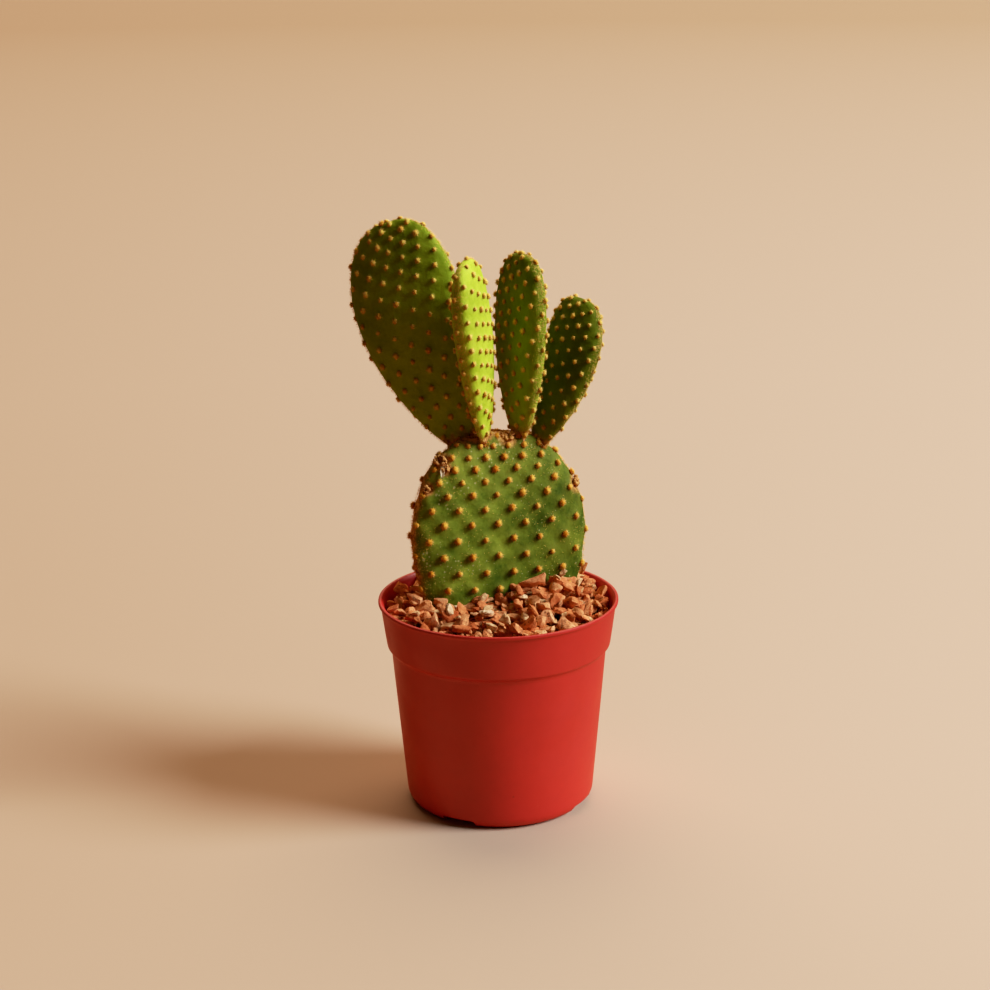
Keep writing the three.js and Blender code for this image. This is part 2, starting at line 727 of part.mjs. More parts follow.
const MATERIALS = {
  plastic: new THREE.MeshStandardMaterial({ color: 0xa83024, roughness: 0.45, metalness: 0 }),
  earth: new THREE.MeshStandardMaterial({ color: 0x3b2a1e, roughness: 0.95, metalness: 0 }),
  root: new THREE.MeshStandardMaterial({ color: 0xc9b08a, roughness: 0.85, metalness: 0 }),
  grit: new THREE.MeshStandardMaterial({ color: 0xa0603c, roughness: 0.9, metalness: 0 }),
  oldPad: new THREE.MeshStandardMaterial({ color: 0x5f7d33, roughness: 0.6, metalness: 0 }),
  youngPad: new THREE.MeshStandardMaterial({ color: 0x74932b, roughness: 0.55, metalness: 0 }),
};

function named(name, solid, material) {
  const mesh = new THREE.Mesh(toGeometry(solid), material);
  mesh.name = name;
  return mesh;
}

const plant = new THREE.Group();
plant.add(named('base_pad', makeBasePad(), MATERIALS.oldPad));
for (const name of EARS) plant.add(named(name, makeEar(name), MATERIALS.youngPad));
plant.add(named('roots', makeRoots(), MATERIALS.root));

const pottedCactus = new THREE.Group();
pottedCactus.add(named('pot', makePot(), MATERIALS.plastic));
pottedCactus.add(named('soil', makeSoil(), MATERIALS.earth));
pottedCactus.add(named('gravel', makeGravel(), MATERIALS.grit));
pottedCactus.add(plant);

const middle = new THREE.Box3().setFromObject(pottedCactus).getCenter(new THREE.Vector3());
pottedCactus.position.set(-middle.x, -middle.y, 0);

export default pottedCactus;
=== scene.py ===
"""Potted bunny ears cactus: the visible surfaces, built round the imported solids.

Shapes are worked out in millimetres from the pot's axis and the table. to_frame() turns them into metres
in the part's own frame when a mesh is made.
"""
import math

import bmesh
import bpy
import numpy as np
from mathutils import Matrix, Vector, noise


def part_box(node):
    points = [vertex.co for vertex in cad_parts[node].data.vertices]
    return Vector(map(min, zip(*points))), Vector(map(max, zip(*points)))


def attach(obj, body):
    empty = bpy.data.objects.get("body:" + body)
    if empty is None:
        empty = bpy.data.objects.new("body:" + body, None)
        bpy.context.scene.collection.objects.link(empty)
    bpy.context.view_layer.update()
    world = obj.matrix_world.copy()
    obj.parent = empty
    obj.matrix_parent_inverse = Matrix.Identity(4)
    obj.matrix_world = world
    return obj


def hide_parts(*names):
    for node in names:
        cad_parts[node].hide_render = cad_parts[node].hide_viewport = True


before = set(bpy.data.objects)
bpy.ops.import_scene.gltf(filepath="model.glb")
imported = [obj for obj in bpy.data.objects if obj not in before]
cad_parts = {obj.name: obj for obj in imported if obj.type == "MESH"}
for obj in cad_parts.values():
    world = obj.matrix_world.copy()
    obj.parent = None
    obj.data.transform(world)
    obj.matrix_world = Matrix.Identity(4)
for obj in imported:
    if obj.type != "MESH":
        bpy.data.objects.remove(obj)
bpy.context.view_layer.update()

MM = 0.001
FULL_TURN = 2 * math.pi
GOLDEN_ANGLE = 2.39996
pot_low, pot_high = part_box("pot")
POT_AXIS = np.array([(pot_low.x + pot_high.x) / 2, (pot_low.y + pot_high.y) / 2, 0.0])

# Pads, as in the part's source: base and tip are the ends of the axis; turn is how far the face looks to
# the right of the front; swell moves the widest place up; round and round_side are the bluntness of the
# outline; bend bows the axis; tuft is a tuft's radius and height. The areoles lie on one spiral: cell is the
# skin that one has to itself, step the turns from one to the next, phase and start the place of the first.
# crowding is how much closer they lie at the two ends, and widening how much wider towards the tip.
PADS = {
    "base_pad": dict(
        base=(0.9, 5.0, 35.0), tip=(-1.5, 5.0, 93.9), half_width=22.85, half_thickness=5.5,
        turn=20, swell=1.15, round=0.364, round_side=0.42, bend=0.9, tuft=(0.82, 0.95),
        cell=30.5, step=0.4644, phase=0.996, start=1.13, crowding=0.4, widening=-0.35),
    "ear_left_large": dict(
        base=(-7.9, 5.2, 89.6), tip=(-26.08, 11.0, 145.5), half_width=14.09, half_thickness=3.7,
        turn=-16, swell=1.559, round=0.359, round_side=0.47, bend=-1.94, tuft=(0.62, 0.85),
        cell=19.34, step=0.6174, phase=0.099, start=1.078, crowding=0.477, widening=-0.04),
    "ear_centre_narrow": dict(
        base=(-2.61, 2.99, 91.61), tip=(-7.0, -9.0, 138.89), half_width=7.77, half_thickness=3.3,
        turn=68, swell=1.647, round=0.29, round_side=0.338, bend=0.32, tuft=(0.58, 0.8),
        cell=10.43, step=0.3845, phase=0.122, start=1.72, crowding=1.13, widening=0),
    "ear_centre_tall": dict(
        base=(5.67, 7.59, 91.9), tip=(6.85, 8.0, 137.87), half_width=9.97, half_thickness=3.53,
        turn=-60, swell=1.465, round=0.311, round_side=0.299, bend=-0.52, tuft=(0.58, 0.8),
        cell=12.6, step=0.6173, phase=0.642, start=0.954, crowding=0.873, widening=-0.388),
    "ear_right_small": dict(
        base=(9.49, 8.9, 88.3), tip=(21.67, 12.5, 125.84), half_width=7.92, half_thickness=3.42,
        turn=-42, swell=1.861, round=0.307, round_side=0.356, bend=1.79, tuft=(0.5, 0.72),
        cell=10.97, step=0.6166, phase=0.138, start=1.087, crowding=0.671, widening=-0.251),
}
EARS = ["ear_left_large", "ear_centre_narrow", "ear_centre_tall", "ear_right_small"]
# How far each ear's green is darkened: a deeper green with age, with painted shade on top of it on the ears
# whose faces turn from the light
DEEP_GREEN_AND_SHADE = {"ear_left_large": 0.5, "ear_centre_tall": 0.66, "ear_right_small": 0.92}
SECTION_POWER = 2.6
PAD_STEPS = 400
ROUND_THE_PAD = np.linspace(0, FULL_TURN, 97)

# The skin's mesh spacing, and its relief: a low bump under every areole, and unevenness in between
SKIN_SPACING, QUICK_SPACING = 0.34, 0.62
BASE_RELIEF = dict(bump_height=0.42, bump_reach=1.9, unevenness=0.27)
EAR_RELIEF = dict(bump_height=0.15, bump_reach=1.1, unevenness=0.07)

# Tufts: bristles in each, how much longer they are along the pad than across, and hairs along the rims
BASE_TUFTS = dict(bristles=75, stretch=1.1, hairs=3200, seed=101)
EAR_TUFTS = dict(bristles=48, stretch=1.25, hairs=2600)
FIRST_EAR_SEED = 102
# How far a tuft's root stands off the pad's formula, on the crest of its bump
BASE_CREST, EAR_CREST = 0.2, 0.06
# A tuft's felt dome: reach and rise of its rings as shares of the tuft's radius and height, and how far
# each ring's colour has turned from the root's to the tip's
FELT_RINGS = [(0.8, -0.2, 0.2), (0.84, 0.12, 0.4), (0.7, 0.42, 0.6), (0.4, 0.64, 0.8)]
FELT_TOP, FELT_SUNK = 0.7, 0.3
FELT_SIDES = 9
BRISTLE_THICK = 0.085

# Corky scars of old buds on the base pad: place along it, place round it in degrees, radius, height
SCARS = [(0.918, 160, 1.9, 1.3), (0.888, 141, 1.3, 0.9), (0.807, 160, 1.4, 0.9), (0.742, 12, 1.9, 1.2),
         (0.985, 68, 2.0, 1.5)]
SCAR_CRUMBS, RING_CRUMBS = 26, 18
FALLEN_GLOCHIDS = 1100
FLAKE_PLACE = (0.873, math.radians(143))
FLAKE_LENGTH, FLAKE_HALF_WIDTH, FLAKE_THICK = 2.9, 0.55, 0.09

# Grit: the surface of its heap and what lies on it
GRIT_LEVEL = 50.4
GRIT_FLOOR = 47.9
GRIT_REACH = 27.0
HEAPS = [(14, 12, 4.2, 7.5), (-17, 14, -0.8, 8), (9, -2, 3.4, 6.5), (-5, -5, 1.7, 6), (2, -16, 0.5, 9)]
BIG_CHIP = 3.6
MOST_CHIPS, LATE_CHIPS = 2400, 26
# Chips laid on top: place, length and tone
LAID_CHIPS = [
    (8.6, -1.8, 8.0, 0.3), (15.0, 2.0, 6.4, 0.15), (-21.0, -3.0, 5.6, 0.35), (-10.7, -5.5, 4.2, 1.0),
    (-11.9, -15.9, 3.6, 0.98), (-2.7, -14.7, 4.8, 1.0), (6.0, -6.0, 3.6, 0.96), (11.0, -7.0, 3.4, 1.0),
]

# Pot: its outline from the middle of the underside round the lip to the middle of the floor plate
POT_PROFILE = [
    (0.0, 2.4), (17.4, 2.4), (18.4, 2.3), (18.75, 1.9), (18.85, 0.35), (19.2, 0.0), (20.2, 0.0),
    (21.1, 0.13), (22.0, 0.5), (22.75, 1.05), (23.3, 1.8), (23.6, 2.6), (23.72, 3.5), (24.6, 13.5),
    (25.5, 23.5), (26.3, 32.6), (26.9, 39.7), (27.02, 40.45), (27.2, 40.75), (27.75, 41.35), (27.98, 41.6),
    (28.06, 41.95), (28.5, 45.0), (28.95, 48.4), (29.38, 51.6), (29.5, 52.0), (29.62, 52.14), (29.86, 52.2),
    (29.97, 52.35), (30.0, 52.6), (29.94, 52.92), (29.76, 53.06), (29.5, 53.1), (29.25, 53.02),
    (29.05, 52.82), (28.62, 52.0), (27.95, 46.8), (27.3, 42.2), (27.1, 41.75), (26.3, 40.75), (26.05, 40.2),
    (24.9, 28.0), (23.7, 15.5), (22.9, 6.2), (22.6, 4.8), (21.8, 3.8), (20.6, 3.45), (18.0, 3.4), (0.0, 3.4),
]
POT_SIDES = 160
NOTCHES = dict(count=4, width=9.0, height=2.2, first=242.5, corner=0.8, inner=17.0, outer=27.0)
DRAINS = dict(count=6, ring=12.5, radius=2.3, centre=3.0, low=1.0, high=4.6, sides=32)
# The inner wall that the grit leans on
WALL_HEIGHTS, WALL_RADII = [3.4, 40.6, 41.8, 52.2], [22.8, 26.05, 27.05, 28.5]


def to_frame(points):
    """Millimetres from the pot's axis as metres in the part's frame."""
    return np.asarray(points, float) * MM + POT_AXIS


def make_mesh(name, points, faces, smooth=True, masks=None):
    """A mesh object from points in millimetres; masks holds one number for each point, by name."""
    mesh = bpy.data.meshes.new(name)
    mesh.from_pydata(to_frame(points).tolist(), [], [tuple(int(i) for i in face) for face in faces])
    mesh.polygons.foreach_set("use_smooth", [smooth] * len(mesh.polygons))
    for mask, values in (masks or {}).items():
        attribute = mesh.attributes.new(mask, "FLOAT", "POINT")
        attribute.data.foreach_set("value", np.asarray(values, np.float32))
    mesh.update()
    piece = bpy.data.objects.new(name, mesh)
    bpy.context.scene.collection.objects.link(piece)
    return piece


def settle(piece, material, slot, *nodes):
    """Gives a piece its material and puts it in the place of the nodes it stands for; slot is not used."""
    piece.data.materials.clear()
    piece.data.materials.append(MATERIALS[material])
    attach(piece, "root")
    if nodes:
        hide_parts(*nodes)
    return piece


def ring_bands(rings, sides, first=0):
    """Faces between rings of points, the lowest ring first, that run anticlockwise seen from above."""
    faces = []
    for ring in range(rings - 1):
        low, high = first + ring * sides, first + (ring + 1) * sides
        for step in range(sides):
            after = (step + 1) % sides
            faces.append((low + step, low + after, high + after, high + step))
    return faces


def ring_body(rings, sides, first, bottom, top):
    """Faces of a closed body: its bands of rings, and fans to a point at its bottom and at its top."""
    faces = ring_bands(rings, sides, first)
    last = first + (rings - 1) * sides
    for step in range(sides):
        after = (step + 1) % sides
        faces += [(bottom, first + after, first + step), (top, last + step, last + after)]
    return faces


def inside_out(faces):
    """The same faces, seen from the other side."""
    return [(face[0], *face[:0:-1]) for face in faces]


def add_part(points, faces, corners, sides):
    """Adds a loose part to the points and faces of a mesh under construction."""
    first = len(points)
    points.extend(corners)
    faces.extend([tuple(first + i for i in side) for side in sides])


def unit(vectors):
    return vectors / np.maximum(np.linalg.norm(vectors, axis=-1, keepdims=True), 1e-9)


def signed_power(value, power):
    return np.sign(value) * np.abs(value) ** power


def smooth_step(low, high, value):
    share = np.clip((value - low) / (high - low), 0, 1)
    return share * share * (3 - 2 * share)


def end_spaced(step, steps):
    """Places from 0 to 1, close together at both ends."""
    return (1 - np.cos(np.pi * np.asarray(step) / steps)) / 2


def noise_at(points, size, seed=0.0):
    """Smooth noise from -1 to 1 with lumps of about that size in millimetres."""
    shift = Vector((seed * 17.3, seed * 5.1, seed * 9.7))
    return np.array([noise.noise(Vector(point) / size + shift) for point in np.asarray(points, float)])


def frame_of(normal):
    """Two directions across a normal."""
    side = np.cross(normal, [0.0, 0.0, 1.0])
    if np.linalg.norm(side) < 0.1:
        side = np.cross(normal, [1.0, 0.0, 0.0])
    side = unit(side)
    return side, np.cross(normal, side)


# Pads

class Pad:
    def __init__(self, name):
        self.name = name
        self.shape = PADS[name]
        self.base = np.array(self.shape["base"])
        along = np.array(self.shape["tip"]) - self.base
        self.length = float(np.linalg.norm(along))
        self.along = along / self.length
        turn = math.radians(self.shape["turn"])
        facing = np.array([math.sin(turn), -math.cos(turn), 0.0])
        self.facing = unit(facing - self.along * facing.dot(self.along))
        self.across = np.cross(self.along, self.facing)

    def halves(self, s):
        """Half the width and half the thickness at s, which runs from 0 at the base to 1 at the tip."""
        lobe = np.maximum(np.sin(np.pi * np.asarray(s) ** self.shape["swell"]), 0)
        width = self.shape["half_width"] * lobe ** self.shape["round"]
        return width, self.shape["half_thickness"] * lobe ** self.shape["round_side"]

    def point(self, s, phi):
        """A point of the skin: phi is 0 at the right rim and a quarter turn in front."""
        s, phi = np.broadcast_arrays(np.asarray(s, float), np.asarray(phi, float))
        width, thickness = self.halves(s)
        sideways = width * signed_power(np.cos(phi), 2 / SECTION_POWER)
        sideways = sideways + self.shape["bend"] * np.sin(np.pi * s)
        outwards = thickness * signed_power(np.sin(phi), 2 / SECTION_POWER)
        return (self.base + self.along * (self.length * s)[..., None]
                + self.across * sideways[..., None] + self.facing * outwards[..., None])

    def normal(self, s, phi, step=1e-3):
        s = np.asarray(s, float)
        up = self.point(np.minimum(s + step, 1), phi) - self.point(np.maximum(s - step, 0), phi)
        around = self.point(s, phi + step) - self.point(s, phi - step)
        return unit(np.cross(up, around))

    def section(self, s):
        """Distances round the section at s, at even steps of phi."""
        width, thickness = self.halves(s)
        x = width * signed_power(np.cos(ROUND_THE_PAD), 2 / SECTION_POWER)
        y = thickness * signed_power(np.sin(ROUND_THE_PAD), 2 / SECTION_POWER)
        return np.concatenate([[0], np.cumsum(np.hypot(np.diff(x), np.diff(y)))])

    def phi_at(self, s, share):
        """Where a share of the way round the section at s lies."""
        lengths = self.section(s)
        return np.interp(np.asarray(share) * lengths[-1], lengths, ROUND_THE_PAD)

    def areoles(self):
        """Places (s, phi) of the areoles on their spiral, from base to tip."""
        shape = self.shape
        places, filled = [], 0.0
        edges = end_spaced(np.arange(PAD_STEPS + 1), PAD_STEPS)
        for low, high in zip(edges, edges[1:]):
            s = (low + high) / 2
            spread = sum(self.halves(high)) / 2 - sum(self.halves(low)) / 2
            band = self.section(s)[-1] * math.hypot(self.length * (high - low), spread)
            crowd = shape["crowding"] + (1 - shape["crowding"]) * math.sin(math.pi * s)
            filled += band / (shape["cell"] * crowd * (1 + shape["widening"] * (s - 0.5)))
            if filled > len(places) + shape["start"]:
                share = (shape["phase"] - len(places) * shape["step"]) % 1
                places.append((s, float(self.phi_at(s, share))))
        return np.array(places)

    def depth(self, points, margin=0.0):
        """Less than 1 inside the pad grown by a margin, more than 1 outside."""
        offset = np.asarray(points, float) - self.base
        s = offset @ self.along / self.length
        width, thickness = self.halves(np.clip(s, 0, 1))
        sideways = np.abs(offset @ self.across - self.shape["bend"] * np.sin(np.pi * np.clip(s, 0, 1)))
        outwards = np.abs(offset @ self.facing)
        level = ((sideways / np.maximum(width + margin, 0.05)) ** SECTION_POWER
                 + (outwards / np.maximum(thickness + margin, 0.05)) ** SECTION_POWER)
        return np.where((s > 0) & (s < 1), level, 9.0)


pads = {name: Pad(name) for name in PADS}
base_pad = pads["base_pad"]


def soft_bumps(points, centres, reach):
    """For each point, how near the centres are: the sum of soft bumps of that reach, 1 on a centre."""
    total = np.zeros(len(points))
    for centre in centres:
        near = np.abs(points - centre).max(axis=1) < reach * 2.6
        square = ((points[near] - centre) ** 2).sum(axis=1)
        total[near] += np.exp(-square / reach ** 2)
    return total


def seat_start(pad):
    """The highest place on an ear's axis whose whole ring still lies under the base pad's skin."""
    for s in np.linspace(0.2, 0.005, 80):
        if (base_pad.depth(pad.point(s, ROUND_THE_PAD), -0.25) < 1).all():
            return float(s)
    return 0.02


def seat_ring(ear, count):
    """Places where an ear's skin comes out of the base pad."""
    spots = []
    for phi in np.linspace(0, FULL_TURN, count, endpoint=False):
        s = np.linspace(0.004, 0.3, 150)
        inside = np.flatnonzero(base_pad.depth(ear.point(s, phi)) < 1)
        spots.append((s[min(inside[-1] + 1, len(s) - 1)] if len(inside) else s[0], phi))
    return np.array(spots)


def shade_and_age(points):
    """How dark the base pad's skin is painted: painted shade that grows to the right, and darker patches of
    older skin.
    """
    patches = noise_at(points, 7.0, 8)
    return 0.5 * smooth_step(-16, 20, points[:, 0]) + 0.2 * smooth_step(-0.1, 0.5, patches)


def cork_mask(pad, s, phi, points):
    """Where the skin has turned to brown cork: the base pad's left rim, top ridge and scars, and the ears'
    seats."""
    if pad is not base_pad:
        return smooth_step(0.06, 0.0, s - seat_start(pad) - 0.02 + 0.02 * noise_at(points, 1.2, 4))
    ragged = 0.5 * noise_at(points, 4.0, 5) + 0.3 * noise_at(points, 1.1, 6)
    rim = 1 - np.abs(np.degrees(phi) - 182) / 24
    cork = smooth_step(0.15, 0.75, rim + 0.7 * ragged) * smooth_step(0.97, 0.8, s)
    cork = np.maximum(cork, smooth_step(0.972, 0.99, s + 0.02 * ragged))
    for along, degrees, radius, _ in SCARS:
        centre = base_pad.point(along, math.radians(degrees))
        far = np.linalg.norm(points - centre, axis=1) / radius
        cork = np.maximum(cork, smooth_step(1.7, 0.8, far + 0.5 * ragged))
    return cork


def pad_skin(pad, spacing, bump_height, bump_reach, unevenness):
    """The pad's skin as one closed mesh, raised in a low bump under every areole."""
    start = 0.0 if pad is base_pad else seat_start(pad)
    girth = max(pad.section(s)[-1] for s in (0.4, 0.5, 0.6, 0.7))
    columns = int(girth / spacing)
    rows = int(pad.length * (1 - start) * 1.3 / spacing)
    if pad is base_pad:
        levels = end_spaced(np.arange(1, rows), rows)
    else:
        levels = start + (1 - start) * np.sin(np.pi / 2 * np.arange(rows) / rows)
    shares = np.arange(columns) / columns
    s = np.repeat(levels, columns)
    phi = np.concatenate([pad.phi_at(level, shares) for level in levels])
    points, normals = pad.point(s, phi), pad.normal(s, phi)
    places = pad.areoles()
    centres = pad.point(places[:, 0], places[:, 1])
    bumps = soft_bumps(points, centres, bump_reach)
    pits = soft_bumps(points, centres, bump_reach * 0.3)
    uneven = unevenness * noise_at(points, 9.0) + 0.3 * unevenness * noise_at(points, 2.6, 1)
    lift = bump_height * (bumps - 0.5 * pits - 0.65) + uneven + 0.03 * noise_at(points, 0.7, 2)
    fade = smooth_step(0, 0.05, s - start) * smooth_step(0, 0.004, 1 - s)
    points = points + normals * (lift * fade)[:, None]
    cork = cork_mask(pad, s, phi, points)
    bottom, top = pad.point(start, ROUND_THE_PAD).mean(axis=0), pad.point(1.0, 0.0)
    count = len(points)
    faces = inside_out(ring_body(len(levels), columns, 0, count, count + 1))
    points = np.vstack([points, bottom, top])
    # deep darkens the skin. On the base pad it is painted shade that grows to the right, with darker patches
    # of older skin; on the ears it is a deeper green with painted shade, and it grows towards the tip as
    # painted shade.
    if pad is base_pad:
        deep = shade_and_age(points)
    else:
        deep = DEEP_GREEN_AND_SHADE.get(pad.name, 0.0) * (0.75 + 0.6 * np.append(s, [0, 1]))
    masks = {"deep": deep, "bump": np.append(np.clip(bumps, 0, 1), [0, 0]), "cork": np.append(cork, [0, 0])}
    return make_mesh(pad.name + "_skin", points, faces, True, masks)


# Glochids and cork

class Bristles:
    """Bristles and felt under construction, with each point's place along its bristle and its tone."""

    def __init__(self):
        self.points, self.faces, self.along, self.tone = [], [], [], []

    def spike(self, start, way, length, thick, tone, root=0.0, tip=1.0):
        """Adds a three-sided bristle that tapers to a point."""
        across, over = frame_of(way)
        first = len(self.points)
        for step in range(3):
            turn = step / 3 * FULL_TURN
            self.points.append(start + thick * (across * math.cos(turn) + over * math.sin(turn)))
        self.points.append(start + way * length)
        for step in range(3):
            self.faces.append((first + step, first + (step + 1) % 3, first + 3))
        self.along += [root] * 3 + [tip]
        self.tone += [tone] * 4

    def mesh(self, name, smooth=True):
        masks = {"along": self.along, "tone": self.tone}
        return make_mesh(name, np.array(self.points), self.faces, smooth, masks)


class Tuft:
    """One tuft's root, directions, size and tone."""

    def __init__(self, pad, root, normal, stretch, random):
        radius, height = pad.shape["tuft"]
        self.normal = normal
        self.side, self.other = frame_of(normal)
        self.root = root + normal * (BASE_CREST if pad is base_pad else EAR_CREST)
        size = random.uniform(0.8, 1.2)
        self.radius, self.height, self.sunk = radius * size, height * size, FELT_SUNK * height
        self.stretch = stretch * random.uniform(0.9, 1.1)
        self.tone = random.random()

    def spot(self, side, other, up):
        return self.root + self.side * side + self.other * other * self.stretch + self.normal * up


def felt_dome(growth, tuft, random):
    """Adds the ragged dome of felt that sits in an areole."""
    first = len(growth.points)
    for ring, (reach, rise, turned_pale) in enumerate(FELT_RINGS):
        for step in range(FELT_SIDES):
            angle = (step + 0.5 * ring) / FELT_SIDES * FULL_TURN
            ragged = reach * tuft.radius * random.uniform(0.68, 1.22)
            up = rise * tuft.height * random.uniform(0.75, 1.2)
            growth.points.append(tuft.spot(ragged * math.cos(angle), ragged * math.sin(angle), up))
            growth.along.append(turned_pale)
    top = len(growth.points)
    growth.points += [tuft.spot(0, 0, FELT_TOP * tuft.height), tuft.spot(0, 0, -tuft.sunk)]
    growth.along += [0.95, 0.0]
    growth.tone += [tuft.tone] * (len(growth.points) - first)
    growth.faces += ring_body(len(FELT_RINGS), FELT_SIDES, first, top + 1, top)


def bristle_fan(growth, tuft, count, random):
    """Adds the short bristles that fan out of a tuft."""
    for bristle in range(count):
        share = (bristle + 0.5) / count
        lean = math.acos(1 - 0.97 * share) * random.uniform(0.85, 1.1)
        angle = bristle * GOLDEN_ANGLE + random.uniform(-0.3, 0.3)
        sideways = tuft.side * math.cos(angle) + tuft.other * math.sin(angle)
        way = tuft.normal * math.cos(lean) + sideways * math.sin(lean)
        upright = way @ tuft.normal
        start = tuft.spot(way @ tuft.side * tuft.radius * 0.5, way @ tuft.other * tuft.radius * 0.5,
                          upright * 0.35 * tuft.height)
        growth.spike(start, way, tuft.height * random.uniform(0.5, 0.95),
                     BRISTLE_THICK * random.uniform(0.8, 1.3),
                     tone=tuft.tone * 0.3 + random.random() * 0.7, root=0.2 + 0.3 * upright)


def rim_fuzz(growth, pad, count, random):
    """Adds fine hairs along both rims and over the tip of a pad."""
    for _ in range(count):
        s = 1 - 0.96 * random.random() ** 1.25
        phi = random.choice([0.0, math.pi]) + math.radians(random.normal(0, 9))
        way = unit(pad.normal(s, phi) + 0.5 * random.normal(0, 1, 3))
        growth.spike(pad.point(s, phi), way, random.uniform(0.3, 0.8), random.uniform(0.03, 0.045),
                     tone=0.0, root=0.5)
    growth.tone[-4 * count:] = np.repeat(random.uniform(0.2, 1.0, count), 4).tolist()


def clear_places(pad):
    """The areoles that carry a tuft: clear of the grit, the scars and the other pads."""
    places = pad.areoles()
    points = pad.point(places[:, 0], places[:, 1])
    outside = np.ones(len(points), bool)
    for other in pads.values():
        if other is not pad:
            outside &= other.depth(points, 0.3) > 1
    if pad is base_pad:
        outside &= points[:, 2] > heap_height(points[:, 0], points[:, 1]) - 0.4
        for along, degrees, radius, _ in SCARS:
            centre = base_pad.point(along, math.radians(degrees))
            outside &= np.linalg.norm(points - centre, axis=1) > radius * 0.8
    return places[outside]


def tufts(pad, bristles, stretch, hairs, seed):
    """The glochid tufts of a pad, and the fuzz of its rims."""
    random = np.random.default_rng(seed)
    growth = Bristles()
    for s, phi in clear_places(pad):
        tuft = Tuft(pad, pad.point(s, phi), pad.normal(s, phi), stretch, random)
        felt_dome(growth, tuft, random)
        bristle_fan(growth, tuft, bristles, random)
    rim_fuzz(growth, pad, hairs, random)
    return growth.mesh(pad.name + "_tufts")


def seat_wool():
    """Brown wool round the ears' seats."""
    random = np.random.default_rng(67)
    growth = Bristles()
    for name in EARS:
        ear = pads[name]
        for s, phi in seat_ring(ear, 90):
            for _ in range(6):
                way = unit(ear.normal(s, phi) * random.uniform(0.3, 1) + ear.along * random.uniform(-0.2, 0.9)
                           + 0.5 * random.normal(0, 1, 3))
                start = ear.point(s, phi) + random.normal(0, 0.22, 3)
                growth.spike(start, way, random.uniform(0.5, 1.2), random.uniform(0.06, 0.1),
                             tone=random.uniform(0, 0.6), tip=0.7)
    return growth.mesh("seat_wool")


def fallen_glochids():
    """Loose pale glochids that lie in patches on the base pad's skin, most of them in front."""
    random = np.random.default_rng(53)
    growth = Bristles()
    while len(growth.points) < FALLEN_GLOCHIDS * 4:
        s = random.uniform(0.22, 0.95)
        degrees = random.choice([random.uniform(30, 175), random.uniform(0, 360)])
        patch = noise.noise(Vector((s * 5, degrees / 28, 0))) + 0.25 * smooth_step(0.8, 0.3, s)
        if random.random() > 0.12 + 0.9 * smooth_step(-0.05, 0.35, patch):
            continue
        phi = math.radians(degrees)
        normal = base_pad.normal(s, phi)
        side, other = frame_of(normal)
        angle = random.uniform(0, FULL_TURN)
        way = unit(side * math.cos(angle) + other * math.sin(angle) + normal * random.uniform(-0.1, 0.6))
        length = random.uniform(0.2, 0.7)
        start = base_pad.point(s, phi) + normal * BASE_CREST - way * length / 2
        growth.spike(start, way, length, random.uniform(0.03, 0.06), tone=0.8, root=0.9, tip=0.9)
    return growth.mesh("fallen_glochids", smooth=False)


def crumb(centre, radius, seed):
    """A rough round crumb of cork."""
    bm = bmesh.new()
    bmesh.ops.create_icosphere(bm, subdivisions=2, radius=1.0)
    shift = Vector((seed * 3.1, seed * 1.7, 0))
    for vert in bm.verts:
        rough = noise.noise(vert.co * 1.3 + shift) * 0.35 + noise.noise(vert.co * 3.4 + shift) * 0.3
        vert.co *= radius * (1 + rough)
    bm.verts.index_update()
    corners = np.array([vert.co for vert in bm.verts]) + centre
    sides = [tuple(vert.index for vert in face.verts) for face in bm.faces]
    bm.free()
    return corners, sides


def bud_scars():
    """Corky scars of old buds: crumbs of cork heaped in a ring round a hollow, half sunk in the skin; and
    the crust round the ears' seats."""
    random = np.random.default_rng(41)
    points, faces = [], []
    for along, degrees, radius, height in SCARS:
        phi = math.radians(degrees)
        centre, normal = base_pad.point(along, phi), base_pad.normal(along, phi)
        side, other = frame_of(normal)
        for number in range(SCAR_CRUMBS):
            in_ring = number < RING_CRUMBS
            angle, reach = number * GOLDEN_ANGLE, radius * random.uniform(0.35, 0.85)
            rise = height * (random.uniform(0.15, 0.6) if in_ring else random.uniform(-0.2, 0.1))
            outwards = side * math.cos(angle) + other * 0.75 * math.sin(angle)
            spot = centre + outwards * reach * (1 if in_ring else 0.35) + normal * rise
            add_part(points, faces, *crumb(spot, radius * random.uniform(0.16, 0.3), number + along * 40))
    for name in EARS:
        for s, phi in seat_ring(pads[name], 20):
            spot = pads[name].point(s, phi) + random.normal(0, 0.25, 3)
            add_part(points, faces, *crumb(spot, random.uniform(0.22, 0.5), s * 90 + phi))
    return make_mesh("bud_scars", np.array(points), faces)


